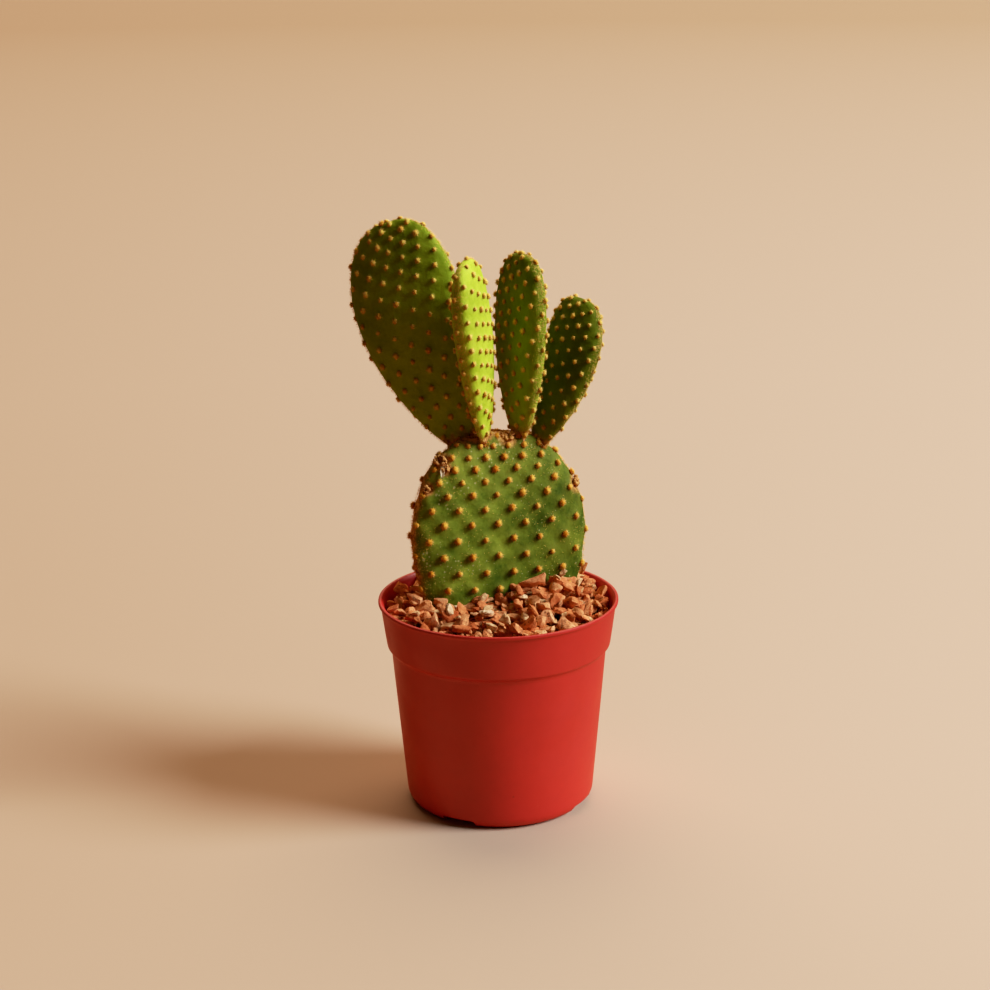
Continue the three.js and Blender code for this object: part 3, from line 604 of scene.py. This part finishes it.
def dry_flake():
    """A pale flake of dry skin that stands on the base pad's shoulder."""
    centre, normal = base_pad.point(*FLAKE_PLACE), base_pad.normal(*FLAKE_PLACE)
    side, other = frame_of(normal)
    points, faces = [], []
    rows, columns = 9, 5
    for layer in (0.0, FLAKE_THICK):
        for row in range(rows):
            up = row / (rows - 1)
            ragged = 1 + 0.25 * math.sin(row * 2.3)
            half = FLAKE_HALF_WIDTH * math.sin(math.pi * (0.12 + 0.82 * up)) * ragged
            for column in range(columns):
                over = (column / (columns - 1) - 0.5) * 2
                curl = 0.35 * over * over + 0.5 * up * up
                points.append(centre + other * (up - 0.5) * FLAKE_LENGTH + side * over * half
                              + normal * (0.25 + curl + layer))

    def at(sheet, row, column):
        return (sheet * rows + row) * columns + column

    for row in range(rows - 1):
        for column in range(columns - 1):
            faces.append((at(0, row, column), at(0, row + 1, column), at(0, row + 1, column + 1),
                          at(0, row, column + 1)))
            faces.append((at(1, row, column), at(1, row, column + 1), at(1, row + 1, column + 1),
                          at(1, row + 1, column)))
    edge = ([(row, 0) for row in range(rows)] + [(rows - 1, column) for column in range(1, columns)]
            + [(row, columns - 1) for row in range(rows - 2, -1, -1)]
            + [(0, column) for column in range(columns - 2, 0, -1)])
    for here, after in zip(edge, edge[1:] + edge[:1]):
        faces.append((at(0, *here), at(1, *here), at(1, *after), at(0, *after)))
    return make_mesh("dry_flake", np.array(points), faces)


# Grit

def heap_height(x, y):
    """The height of the grit's surface."""
    height = GRIT_LEVEL
    for heap_x, heap_y, rise, reach in HEAPS:
        height = height + rise * np.exp(-((x - heap_x) ** 2 + (y - heap_y) ** 2) / (2 * reach ** 2))
    return height


def chip_shapes(count, cuts, seed):
    """Broken stones of unit length: hulls of scattered points with rough broken faces."""
    random = np.random.default_rng(seed)
    shapes = []
    for number in range(count):
        bm = bmesh.new()
        for _ in range(13):
            place = random.uniform(-1, 1, 3)
            place /= np.abs(place).max() ** random.uniform(0.55, 0.9)
            bm.verts.new(place * 0.5)
        hull = bmesh.ops.convex_hull(bm, input=bm.verts)
        loose = [v for v in hull["geom_interior"] if isinstance(v, bmesh.types.BMVert)]
        bmesh.ops.delete(bm, geom=loose, context="VERTS")
        bmesh.ops.triangulate(bm, faces=bm.faces)
        bmesh.ops.subdivide_edges(bm, edges=bm.edges, cuts=cuts)
        bmesh.ops.triangulate(bm, faces=bm.faces)
        for _ in range(1 + number % 2):
            bmesh.ops.smooth_vert(bm, verts=bm.verts, factor=0.5,
                                  use_axis_x=True, use_axis_y=True, use_axis_z=True)
        widest = max(vert.co.length for vert in bm.verts)
        shift = Vector((number * 3.7, 1.3, 0))
        for vert in bm.verts:
            rough = noise.noise(vert.co * 3.0 + shift) * 0.12 + noise.noise(vert.co * 8 + shift) * 0.055
            vert.co = vert.co * (0.55 / widest) + vert.co.normalized() * rough
        bm.verts.index_update()
        corners = np.array([vert.co for vert in bm.verts])
        shapes.append((corners, [tuple(vert.index for vert in face.verts) for face in bm.faces]))
        bm.free()
    return shapes


def turned(angles):
    return np.array((Matrix.Rotation(angles[2], 3, "Z") @ Matrix.Rotation(angles[1], 3, "Y")
                     @ Matrix.Rotation(angles[0], 3, "X")))


class GritHeap:
    """The heap under construction: how high it has grown over each spot of the pot's mouth."""

    def __init__(self, random):
        self.random = random
        self.small_shapes, self.big_shapes = chip_shapes(22, 1, 5), chip_shapes(22, 2, 6)
        cell = 0.5
        ticks = np.arange(-29, 29, cell) + cell / 2
        x, y = np.meshgrid(ticks, ticks, indexing="ij")
        self.spots = np.stack([x.ravel(), y.ravel()], axis=1)
        self.goal = heap_height(self.spots[:, 0], self.spots[:, 1])
        self.level = np.full(len(self.spots), GRIT_FLOOR)
        far = np.hypot(self.spots[:, 0], self.spots[:, 1])
        clear = base_pad.depth(np.column_stack([self.spots, self.goal]), -0.6) > 1
        self.open_spots = np.flatnonzero((far < GRIT_REACH) & clear)
        self.points, self.faces, self.tone = [], [], []

    def drop(self, place, length, tone, tumble):
        """Lays a chip of that length on what lies under it, turned at random by about the tumble."""
        random = self.random
        near = np.linalg.norm(self.spots - place, axis=1) < length * 0.36
        if not near.any():
            return
        shapes = self.big_shapes if length > BIG_CHIP else self.small_shapes
        corners, sides = shapes[random.integers(len(shapes))]
        size = length * np.array([1.0, random.uniform(0.5, 0.85), random.uniform(0.38, 0.65)])
        angles = [random.normal(0, tumble), random.normal(0, tumble), random.uniform(0, FULL_TURN)]
        stone = (corners * size) @ turned(angles).T
        rest = np.percentile(self.level[near], 55)
        stone = stone + [place[0], place[1], rest - stone[:, 2].min() * 0.8]
        wall = np.interp(stone[:, 2], WALL_HEIGHTS, WALL_RADII) - 0.25
        far = np.hypot(stone[:, 0], stone[:, 1])
        stone[:, :2] *= np.minimum(wall / np.maximum(far, 1e-6), 1)[:, None]
        self.level[near] = np.maximum(self.level[near], stone[:, 2].max() - 0.25 * size[2])
        add_part(self.points, self.faces, stone, sides)
        self.tone.extend([tone] * len(stone))


def grit():
    """Chips dropped one after another where the heap still lacks height, then the listed ones laid on top,
    and a few loose ones."""
    random = np.random.default_rng(7)
    heap = GritHeap(random)
    for _ in range(MOST_CHIPS):
        tries = random.choice(heap.open_spots, 14)
        need = (heap.goal - heap.level)[tries]
        if need.max() < 0.05:
            break
        length = 2.2 + 4.8 * random.random() ** 1.6
        place = heap.spots[tries[need.argmax()]] + random.uniform(-0.25, 0.25, 2)
        heap.drop(place, length, random.uniform(0, 0.82), 0.45)
    for x, y, length, tone in LAID_CHIPS:
        heap.drop(np.array([x, y]), length, tone, 0.25)
    for _ in range(LATE_CHIPS):
        place = heap.spots[random.choice(heap.open_spots)]
        heap.drop(place, random.uniform(2.6, 5.2), random.choice([random.uniform(0, 0.8), 0.93]), 0.5)
    chips = make_mesh("gravel_chips", np.array(heap.points), heap.faces, True, {"tone": heap.tone})
    chips.data.set_sharp_from_angle(angle=math.radians(38))
    return chips


# Pot

def circle(radius, sides, x=0.0, y=0.0):
    angles = [step / sides * FULL_TURN for step in range(sides)]
    return [(x + radius * math.cos(angle), y + radius * math.sin(angle)) for angle in angles]


def lathe(name, profile, sides):
    """A body turned from a profile that starts and ends on the axis."""
    rings = [(radius, height) for radius, height in profile if radius > 0]
    points = [(0.0, 0.0, profile[0][1])]
    for radius, height in rings:
        points += [(x, y, height) for x, y in circle(radius, sides)]
    points.append((0.0, 0.0, profile[-1][1]))
    return make_mesh(name, points, ring_body(len(rings), sides, 1, 0, len(points) - 1))


def bar(name, near_end, far_end):
    """A closed bar between two outlines of as many points."""
    sides = len(near_end)
    faces = [tuple(range(sides))[::-1], tuple(range(sides, 2 * sides))]
    return make_mesh(name, near_end + far_end, faces + ring_bands(2, sides))


def notch_cutter(angle):
    """A bar with rounded upper corners that points out from the pot's axis."""
    half, top, corner = NOTCHES["width"] / 2, NOTCHES["height"], NOTCHES["corner"]
    outline = [(-half, -2.0), (half, -2.0)]
    for centre, first in ((half - corner, 0), (corner - half, 90)):
        for degrees in range(first, first + 91, 15):
            turn = math.radians(degrees)
            outline.append((centre + corner * math.cos(turn), top - corner + corner * math.sin(turn)))
    spin = Matrix.Rotation(math.radians(angle), 3, "Z")
    ends = [[tuple(spin @ Vector((reach, y, z))) for y, z in outline]
            for reach in (NOTCHES["inner"], NOTCHES["outer"])]
    return bar("notch_cutter", *ends)


def drain_cutter(x, y, radius):
    ring = circle(radius, DRAINS["sides"], x, y)
    low_end, high_end = [[(px, py, z) for px, py in ring] for z in (DRAINS["low"], DRAINS["high"])]
    return bar("drain_cutter", low_end, high_end)


def pot_shell():
    """The moulded pot: turned from its profile, then notched and drilled."""
    pot = lathe("pot_shell", POT_PROFILE, POT_SIDES)
    step = 360 / NOTCHES["count"]
    cutters = [notch_cutter(NOTCHES["first"] + i * step) for i in range(NOTCHES["count"])]
    cutters.append(drain_cutter(0, 0, DRAINS["centre"]))
    cutters += [drain_cutter(x, y, DRAINS["radius"]) for x, y in circle(DRAINS["ring"], DRAINS["count"])]
    for number, cutter in enumerate(cutters):
        cut = pot.modifiers.new(f"cut_{number}", "BOOLEAN")
        cut.operation, cut.object, cut.solver = "DIFFERENCE", cutter, "EXACT"
    whole = pot.evaluated_get(bpy.context.evaluated_depsgraph_get())
    mesh = bpy.data.meshes.new_from_object(whole)
    pot.modifiers.clear()
    pot.data = mesh
    mesh.polygons.foreach_set("use_smooth", [True] * len(mesh.polygons))
    mesh.set_sharp_from_angle(angle=math.radians(34))
    for cutter in cutters:
        bpy.data.objects.remove(cutter, do_unlink=True)
    return pot


# Material tools

def srgb(code):
    """A colour given as a hex code, as the shader wants it."""
    parts = [((code >> shift) & 255) / 255 for shift in (16, 8, 0)]
    linear = [c / 12.92 if c <= 0.04045 else ((c + 0.055) / 1.055) ** 2.4 for c in parts]
    return (*linear, 1.0)


def place(tree, kind, inputs=None, **settings):
    """Adds a node: its settings first, then its inputs, each a number, a colour or another node's output."""
    node = tree.nodes.new(kind)
    for name, value in settings.items():
        setattr(node, name, value)
    for name, value in (inputs or {}).items():
        if isinstance(value, bpy.types.NodeSocket):
            tree.links.new(value, node.inputs[name])
        else:
            node.inputs[name].default_value = value
    return node


def where(tree):
    return place(tree, "ShaderNodeTexCoord").outputs["Object"]


def noise_field(tree, spot, scale, detail=2.0, roughness=0.5):
    """Noise from 0 to 1."""
    settings = {"Vector": spot, "Scale": scale, "Detail": detail, "Roughness": roughness}
    return place(tree, "ShaderNodeTexNoise", settings).outputs["Fac"]


def lumps(tree, size_mm, detail=2.0, roughness=0.5, stretch=None):
    """Noise with lumps of that size."""
    spot = where(tree)
    if stretch:
        spot = place(tree, "ShaderNodeMapping", {"Vector": spot, "Scale": stretch}).outputs["Vector"]
    return noise_field(tree, spot, 1 / (size_mm * MM), detail, roughness)


def ranged(tree, value, low, high, to_low=0.0, to_high=1.0):
    settings = {"Value": value, "From Min": low, "From Max": high, "To Min": to_low, "To Max": to_high}
    return place(tree, "ShaderNodeMapRange", settings).outputs["Result"]


# Places of a colour mix's sockets among the mix node's sockets of every kind
MIX_SHARE, MIX_ONE, MIX_TWO, MIX_COLOUR = 0, 6, 7, 2


def blend(tree, share, one, two, kind="MIX"):
    """One colour turning into another by a share, or one laid on the other by a blend mode."""
    inputs = {MIX_SHARE: share, MIX_ONE: one, MIX_TWO: two}
    return place(tree, "ShaderNodeMix", inputs, data_type="RGBA", blend_type=kind).outputs[MIX_COLOUR]


def sums(tree, kind, one, two):
    return place(tree, "ShaderNodeMath", {0: one, 1: two}, operation=kind).outputs[0]


def mask(tree, name):
    return place(tree, "ShaderNodeAttribute", attribute_name=name).outputs["Fac"]


def bumped(tree, height, strength, distance_mm):
    settings = {"Height": height, "Strength": strength, "Distance": distance_mm * MM}
    return place(tree, "ShaderNodeBump", settings).outputs["Normal"]


def finish_with(name, build):
    """A material whose shader takes what build(tree) returns: the Principled BSDF's inputs by name."""
    material = bpy.data.materials.new(name)
    material.use_nodes = True
    tree = material.node_tree
    tree.nodes.clear()
    shader = place(tree, "ShaderNodeBsdfPrincipled", build(tree))
    place(tree, "ShaderNodeOutputMaterial", {"Surface": shader.outputs["BSDF"]})
    return material


def group(name, inputs, outputs, build):
    """A shader node group with named inputs (name, kind, value) and outputs (name, kind)."""
    tree = bpy.data.node_groups.new(name, "ShaderNodeTree")
    for label, kind, value in inputs:
        tree.interface.new_socket(label, in_out="INPUT", socket_type=kind).default_value = value
    for label, kind in outputs:
        tree.interface.new_socket(label, in_out="OUTPUT", socket_type=kind)
    entry = tree.nodes.new("NodeGroupInput")
    leave = tree.nodes.new("NodeGroupOutput")
    for label, value in build(tree, entry.outputs).items():
        tree.links.new(value, leave.inputs[label])
    return tree


# Effects that several finishes share

FLOAT, COLOUR = "NodeSocketFloat", "NodeSocketColor"


def build_mottle(tree, given):
    """A colour that drifts between two, in patches with finer specks inside."""
    broad = noise_field(tree, where(tree), given["Patch scale"], 3.0, 0.55)
    fine = noise_field(tree, where(tree), given["Speck scale"], 2.0, 0.6)
    share = sums(tree, "ADD", sums(tree, "MULTIPLY", broad, 0.75), sums(tree, "MULTIPLY", fine, 0.25))
    share = ranged(tree, share, 0.36, 0.64)
    return {"Color": blend(tree, share, given["Dark"], given["Light"]), "Share": share}


def build_grain(tree, given):
    """Height of a fine grain over a coarser one."""
    coarse = noise_field(tree, where(tree), given["Coarse scale"], 4.0, 0.6)
    fine = noise_field(tree, where(tree), given["Fine scale"], 3.0, 0.6)
    return {"Height": sums(tree, "ADD", coarse, sums(tree, "MULTIPLY", fine, given["Fine share"]))}


def build_flecks(tree, given):
    """Small pale flecks, one in some of the cells of a pattern, gathered in patches."""
    cells = place(tree, "ShaderNodeTexVoronoi", {"Vector": where(tree), "Scale": given["Scale"]})
    patches = noise_field(tree, where(tree), given["Patch scale"])
    chosen = ranged(tree, patches, given["Rarity"], 0.8)
    lucky = place(tree, "ShaderNodeSeparateColor", {"Color": cells.outputs["Color"]})
    size = sums(tree, "MULTIPLY", sums(tree, "MULTIPLY", lucky.outputs["Red"], chosen), given["Size"])
    near = sums(tree, "SUBTRACT", size, cells.outputs["Distance"])
    return {"Mask": ranged(tree, near, 0.0, 0.06)}


MOTTLE = group("mottle",
               [("Dark", COLOUR, (0, 0, 0, 1)), ("Light", COLOUR, (1, 1, 1, 1)),
                ("Patch scale", FLOAT, 200.0), ("Speck scale", FLOAT, 1500.0)],
               [("Color", COLOUR), ("Share", FLOAT)], build_mottle)
GRAIN = group("grain",
              [("Coarse scale", FLOAT, 500.0), ("Fine scale", FLOAT, 3000.0), ("Fine share", FLOAT, 0.5)],
              [("Height", FLOAT)], build_grain)
FLECKS = group("flecks",
               [("Scale", FLOAT, 900.0), ("Patch scale", FLOAT, 120.0), ("Rarity", FLOAT, 0.4),
                ("Size", FLOAT, 0.6)],
               [("Mask", FLOAT)], build_flecks)


def mottled(tree, dark, light, patch_scale, speck_scale):
    inputs = {"Dark": srgb(dark), "Light": srgb(light),
              "Patch scale": patch_scale, "Speck scale": speck_scale}
    return place(tree, "ShaderNodeGroup", inputs, node_tree=MOTTLE).outputs


def grained(tree, coarse_scale, fine_scale, fine_share):
    inputs = {"Coarse scale": coarse_scale, "Fine scale": fine_scale, "Fine share": fine_share}
    return place(tree, "ShaderNodeGroup", inputs, node_tree=GRAIN).outputs["Height"]


def flecked(tree, scale, patch_scale, rarity, size, strength):
    """A mask of flecks of that strength."""
    inputs = {"Scale": scale, "Patch scale": patch_scale, "Rarity": rarity, "Size": size}
    found = place(tree, "ShaderNodeGroup", inputs, node_tree=FLECKS).outputs["Mask"]
    return sums(tree, "MULTIPLY", found, strength)


def cork_colour(tree):
    return mottled(tree, 0x84522C, 0xECBC7C, 900.0, 3500.0)["Color"]


# Finishes

def pad_finish(dark, light, crest, fleck_size):
    """Living pad skin: mottled green, with painted light on the bumps and painted shade between them,
    flecked, and brown where it is cork.
    """
    def build(tree):
        # Painted light: the skin turns to the paler crest colour on the bumps and stays darker between them,
        # as painted shade.
        raised = ranged(tree, mask(tree, "bump"), 0.15, 0.9, 0.0, 0.42)
        colour = blend(tree, raised, mottled(tree, dark, light, 130.0, 1100.0)["Color"], srgb(crest))
        # Painted shade, with a deeper green of age, where the deep mask is high.
        deepened = blend(tree, 1.0, colour, srgb(0x908E78), "MULTIPLY")
        colour = blend(tree, mask(tree, "deep"), colour, deepened)
        colour = blend(tree, flecked(tree, 1150.0, 95.0, 0.36, fleck_size, 0.55), colour, srgb(0xC8CC98))
        cork = mask(tree, "cork")
        rough = ranged(tree, lumps(tree, 2.2), 0.3, 0.7, 0.58, 0.74)
        return {
            "Base Color": blend(tree, cork, colour, cork_colour(tree)),
            "Roughness": sums(tree, "ADD", rough, sums(tree, "MULTIPLY", cork, 0.3)),
            "Normal": bumped(tree, grained(tree, 700.0, 4200.0, 0.5), 0.8, 0.24),
            "Subsurface Weight": 0.12,
            "Subsurface Radius": (0.5, 0.8, 0.12),
            "Subsurface Scale": 0.0012,
            "Specular IOR Level": 0.14,
        }
    return build


def glochid_finish(deep, pale):
    """Glochids: golden bristles, darker at the root."""
    def build(tree):
        tip = blend(tree, mask(tree, "tone"), srgb(deep), srgb(pale))
        root = blend(tree, 1.0, tip, srgb(0xD8B480), "MULTIPLY")
        colour = blend(tree, ranged(tree, mask(tree, "along"), 0.0, 0.85), root, tip)
        return {"Base Color": colour, "Roughness": 0.8, "Specular IOR Level": 0.15,
                "Subsurface Weight": 0.25, "Subsurface Radius": (1.0, 0.6, 0.3), "Subsurface Scale": 0.001}
    return build


def cork_finish(tree):
    return {"Base Color": cork_colour(tree), "Roughness": 0.9, "Specular IOR Level": 0.2,
            "Normal": bumped(tree, grained(tree, 900.0, 3600.0, 0.6), 0.8, 0.3)}


def plastic_finish(tree):
    """Moulded terracotta-red plastic: even, satin, with a faint orange peel, dark pits and dusty scuffs."""
    colour = mottled(tree, 0xB62C2A, 0xBE2F2C, 60.0, 500.0)["Color"]
    colour = blend(tree, flecked(tree, 170.0, 60.0, 0.56, 0.35, 0.6), colour, srgb(0x5A140C))
    scuffs = ranged(tree, lumps(tree, 1.6, 6.0, 0.7, (1.0, 1.0, 0.35)), 0.66, 0.74)
    colour = blend(tree, sums(tree, "MULTIPLY", scuffs, 0.12), colour, srgb(0xD08A70))
    rough = ranged(tree, lumps(tree, 7.0, 4.0), 0.3, 0.7, 0.4, 0.5)
    return {"Base Color": colour, "Roughness": sums(tree, "ADD", rough, sums(tree, "MULTIPLY", scuffs, 0.15)),
            "Normal": bumped(tree, grained(tree, 260.0, 2600.0, 0.12), 0.12, 0.12),
            "Specular IOR Level": 1.0, "Subsurface Weight": 0.05, "Subsurface Radius": (1.0, 0.25, 0.12),
            "Subsurface Scale": 0.0008}


# Colours of the chips by their tone: brick, rust, tan and cream
CHIP_COLOURS = [(0.0, 0xCC7A4C), (0.22, 0xFCB07C), (0.42, 0xFFCEA0), (0.6, 0xE89A64), (0.78, 0xFFDCAC),
                (0.92, 0xFCDCAC), (1.0, 0xFFE8C4)]


def stone_finish(tree):
    """Burnt lava grit: each chip its own colour, with worn patches, pores and a rough grain."""
    ramp = place(tree, "ShaderNodeValToRGB", {"Fac": mask(tree, "tone")})
    elements = ramp.color_ramp.elements
    while len(elements) < len(CHIP_COLOURS):
        elements.new(0.5)
    for element, (position, colour) in zip(elements, CHIP_COLOURS):
        element.position, element.color = position, srgb(colour)
    worn = mottled(tree, 0xCCA488, 0xFFFFFF, 650.0, 3000.0)
    colour = blend(tree, 0.75, ramp.outputs["Color"], worn["Color"], "MULTIPLY")
    colour = blend(tree, flecked(tree, 1000.0, 300.0, 0.3, 0.8, 0.5), colour, srgb(0x6C3C22))
    return {"Base Color": colour, "Roughness": ranged(tree, worn["Share"], 0.0, 1.0, 0.95, 0.8),
            "Normal": bumped(tree, grained(tree, 1100.0, 4200.0, 0.7), 1.0, 0.5), "Specular IOR Level": 0.25}


def soil_finish(tree):
    return {"Base Color": mottled(tree, 0x1E130C, 0x4A3323, 500.0, 1800.0)["Color"], "Roughness": 0.95,
            "Normal": bumped(tree, grained(tree, 500.0, 2000.0, 0.6), 1.0, 0.8)}


def root_finish(tree):
    return {"Base Color": mottled(tree, 0x8A6A44, 0xD8BE92, 400.0, 1600.0)["Color"], "Roughness": 0.8,
            "Normal": bumped(tree, grained(tree, 600.0, 2500.0, 0.5), 0.6, 0.3)}


def flake_finish(tree):
    return {"Base Color": mottled(tree, 0xC9B48C, 0xF2E6CC, 600.0, 2500.0)["Color"], "Roughness": 0.7,
            "Subsurface Weight": 0.2, "Subsurface Radius": (1.0, 0.9, 0.7), "Subsurface Scale": 0.0005}


FINISHES = {
    # The third colour of each skin is painted light on the crests of its bumps.
    "old_pad_skin": pad_finish(0x5A7429, 0x94A846, 0xA8AF54, 0.6),
    "young_pad_skin": pad_finish(0xA6C43A, 0xC3DF4F, 0xD4E969, 0.25),
    "old_glochids": glochid_finish(0xD08628, 0xFCC65C),
    "young_glochids": glochid_finish(0xDCA244, 0xFFDE78),
    "cork": cork_finish,
    "pot_plastic": plastic_finish,
    "lava_grit": stone_finish,
    "potting_soil": soil_finish,
    "root_bark": root_finish,
    "dry_skin": flake_finish,
}
MATERIALS = {name: finish_with(name, build) for name, build in FINISHES.items()}


# The object

settle(pot_shell(), "pot_plastic", "pot_plastic", "pot")
settle(grit(), "lava_grit", "lava_grit", "gravel")

skin_spacing = SKIN_SPACING
settle(pad_skin(base_pad, skin_spacing, **BASE_RELIEF), "old_pad_skin", "old_pad_skin", "base_pad")
settle(tufts(base_pad, **BASE_TUFTS), "old_glochids", "old_pad_skin")
for number, name in enumerate(EARS):
    ear = pads[name]
    settle(pad_skin(ear, skin_spacing, **EAR_RELIEF), "young_pad_skin", "young_pad_skin", name)
    settle(tufts(ear, seed=FIRST_EAR_SEED + number, **EAR_TUFTS), "young_glochids", "young_pad_skin")
settle(bud_scars(), "cork", "old_pad_skin")
settle(seat_wool(), "old_glochids", "old_pad_skin")
settle(fallen_glochids(), "young_glochids", "old_pad_skin")
settle(dry_flake(), "dry_skin", "old_pad_skin")

for node, material in (("soil", "potting_soil"), ("roots", "root_bark")):
    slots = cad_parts[node].data.materials
    slots.clear()
    slots.append(MATERIALS[material])


# Camera, floor and light

CAMERA = dict(distance=501.0, elevation=16.26, target=(-0.53, 0.0, 79.46), roll=-0.66, focal_px=2032.9)
IMAGE_PX = 990
SENSOR_MM = 36.0
FLOOR_HALF = 12.0
# Azimuth runs from the camera's side towards the right, and spread is how wide the light looks, in degrees
LIGHTS = [
    dict(name="key", azimuth=77, elevation=33, spread=28, strength=4.2, colour=(1.0, 0.98, 0.98)),
    dict(name="overhead", azimuth=180, elevation=56, spread=60, strength=2.0, colour=(1.0, 0.68, 0.46)),
]
# The dim warm surroundings, and the backdrop that the camera sees in their place
SURROUNDINGS, BACKDROP = (0.135, 0.088, 0.05, 1.0), (0.66, 0.48, 0.34, 1.0)
# The picture's contrast: scene brightness and what the picture shows it as
PICTURE_CURVE = [(0.0, 0.0), (0.0069, 0.001), (0.0127, 0.003), (0.0258, 0.01), (0.0537, 0.03), (0.131, 0.1),
                 (0.226, 0.2), (0.45, 0.45), (0.62, 0.6), (0.91, 0.8), (1.28, 1.0)]
PICTURE_WHITE = 1.28


def link_to_scene(name, data):
    thing = bpy.data.objects.new(name, data)
    bpy.context.scene.collection.objects.link(thing)
    return thing


def make_camera():
    data = bpy.data.cameras.new("camera")
    data.sensor_width, data.lens = SENSOR_MM, CAMERA["focal_px"] / IMAGE_PX * SENSOR_MM
    data.clip_start, data.clip_end = 0.01, 100.0
    camera = link_to_scene("camera", data)
    elevation, roll = math.radians(CAMERA["elevation"]), math.radians(CAMERA["roll"])
    back = Vector((0.0, -math.cos(elevation), math.sin(elevation)))
    place_mm = Vector(CAMERA["target"]) + back * CAMERA["distance"]
    camera.location = Vector(to_frame(place_mm[:]))
    camera.rotation_mode = "QUATERNION"
    camera.rotation_quaternion = (Matrix.Rotation(roll, 3, back)
                                  @ (-back).to_track_quat("-Z", "Y").to_matrix()).to_quaternion()
    bpy.context.scene.camera = camera


def floor_finish(tree):
    """Pale paper with painted light to the right and painted shade far away, and darker to bounced light than
    to the camera.
    """
    across = place(tree, "ShaderNodeSeparateXYZ", {"Vector": where(tree)})
    far = place(tree, "ShaderNodeVectorMath", {0: where(tree)}, operation="LENGTH").outputs["Value"]
    # Painted light: the paper turns paler towards the right, the side the key light comes from.
    side = ranged(tree, sums(tree, "DIVIDE", across.outputs["X"], sums(tree, "ADD", far, 0.3)), -0.3, 0.3)
    paper = blend(tree, side, srgb(0xB9A694), srgb(0xCABDAE))
    # Painted shade: the paper darkens far away.
    far_shade = ranged(tree, far, 0.5, 3.5)
    paper = blend(tree, far_shade, paper, blend(tree, 1.0, paper, (0.85, 0.77, 0.675, 1.0), "MULTIPLY"))
    bounced = blend(tree, ranged(tree, far, 0.06, 0.3), srgb(0xC89A7A), srgb(0x5C4434))
    direct = place(tree, "ShaderNodeLightPath").outputs["Is Camera Ray"]
    return {"Base Color": blend(tree, direct, bounced, paper), "Roughness": 0.9, "Specular IOR Level": 0.1}


def make_floor():
    mesh = bpy.data.meshes.new("floor")
    corners = [(x * FLOOR_HALF, y * FLOOR_HALF, 0) for x, y in ((-1, -1), (1, -1), (1, 1), (-1, 1))]
    mesh.from_pydata(corners, [], [(0, 1, 2, 3)])
    mesh.materials.append(finish_with("paper_floor", floor_finish))
    link_to_scene("floor", mesh)


def make_light(name, azimuth, elevation, spread, strength, colour):
    """A soft light from far away."""
    turn, rise = math.radians(azimuth), math.radians(elevation)
    way = Vector((math.sin(turn) * math.cos(rise), -math.cos(turn) * math.cos(rise), math.sin(rise)))
    data = bpy.data.lights.new(name, "SUN")
    data.angle, data.energy, data.color = math.radians(spread), strength, colour
    light = link_to_scene(name, data)
    light.location = way
    light.rotation_mode = "QUATERNION"
    light.rotation_quaternion = (-way).to_track_quat("-Z", "Y")


def make_world():
    world = bpy.data.worlds.new("studio")
    bpy.context.scene.world = world
    world.use_nodes = True
    tree = world.node_tree
    tree.nodes.clear()
    direct = place(tree, "ShaderNodeLightPath").outputs["Is Camera Ray"]
    colour = blend(tree, direct, SURROUNDINGS, BACKDROP)
    sky = place(tree, "ShaderNodeBackground", {"Color": colour, "Strength": 1.0})
    place(tree, "ShaderNodeOutputWorld", {"Surface": sky.outputs["Background"]})


def set_picture():
    view = bpy.context.scene.view_settings
    view.view_transform = "Standard"
    view.use_curve_mapping = True
    mapping = view.curve_mapping
    mapping.white_level = (PICTURE_WHITE,) * 3
    points = mapping.curves[3].points
    for bright, shown in PICTURE_CURVE[1:-1]:
        points.new(bright / PICTURE_WHITE, shown)
    mapping.update()


make_camera()
make_floor()
for light in LIGHTS:
    make_light(**light)
make_world()
set_picture()
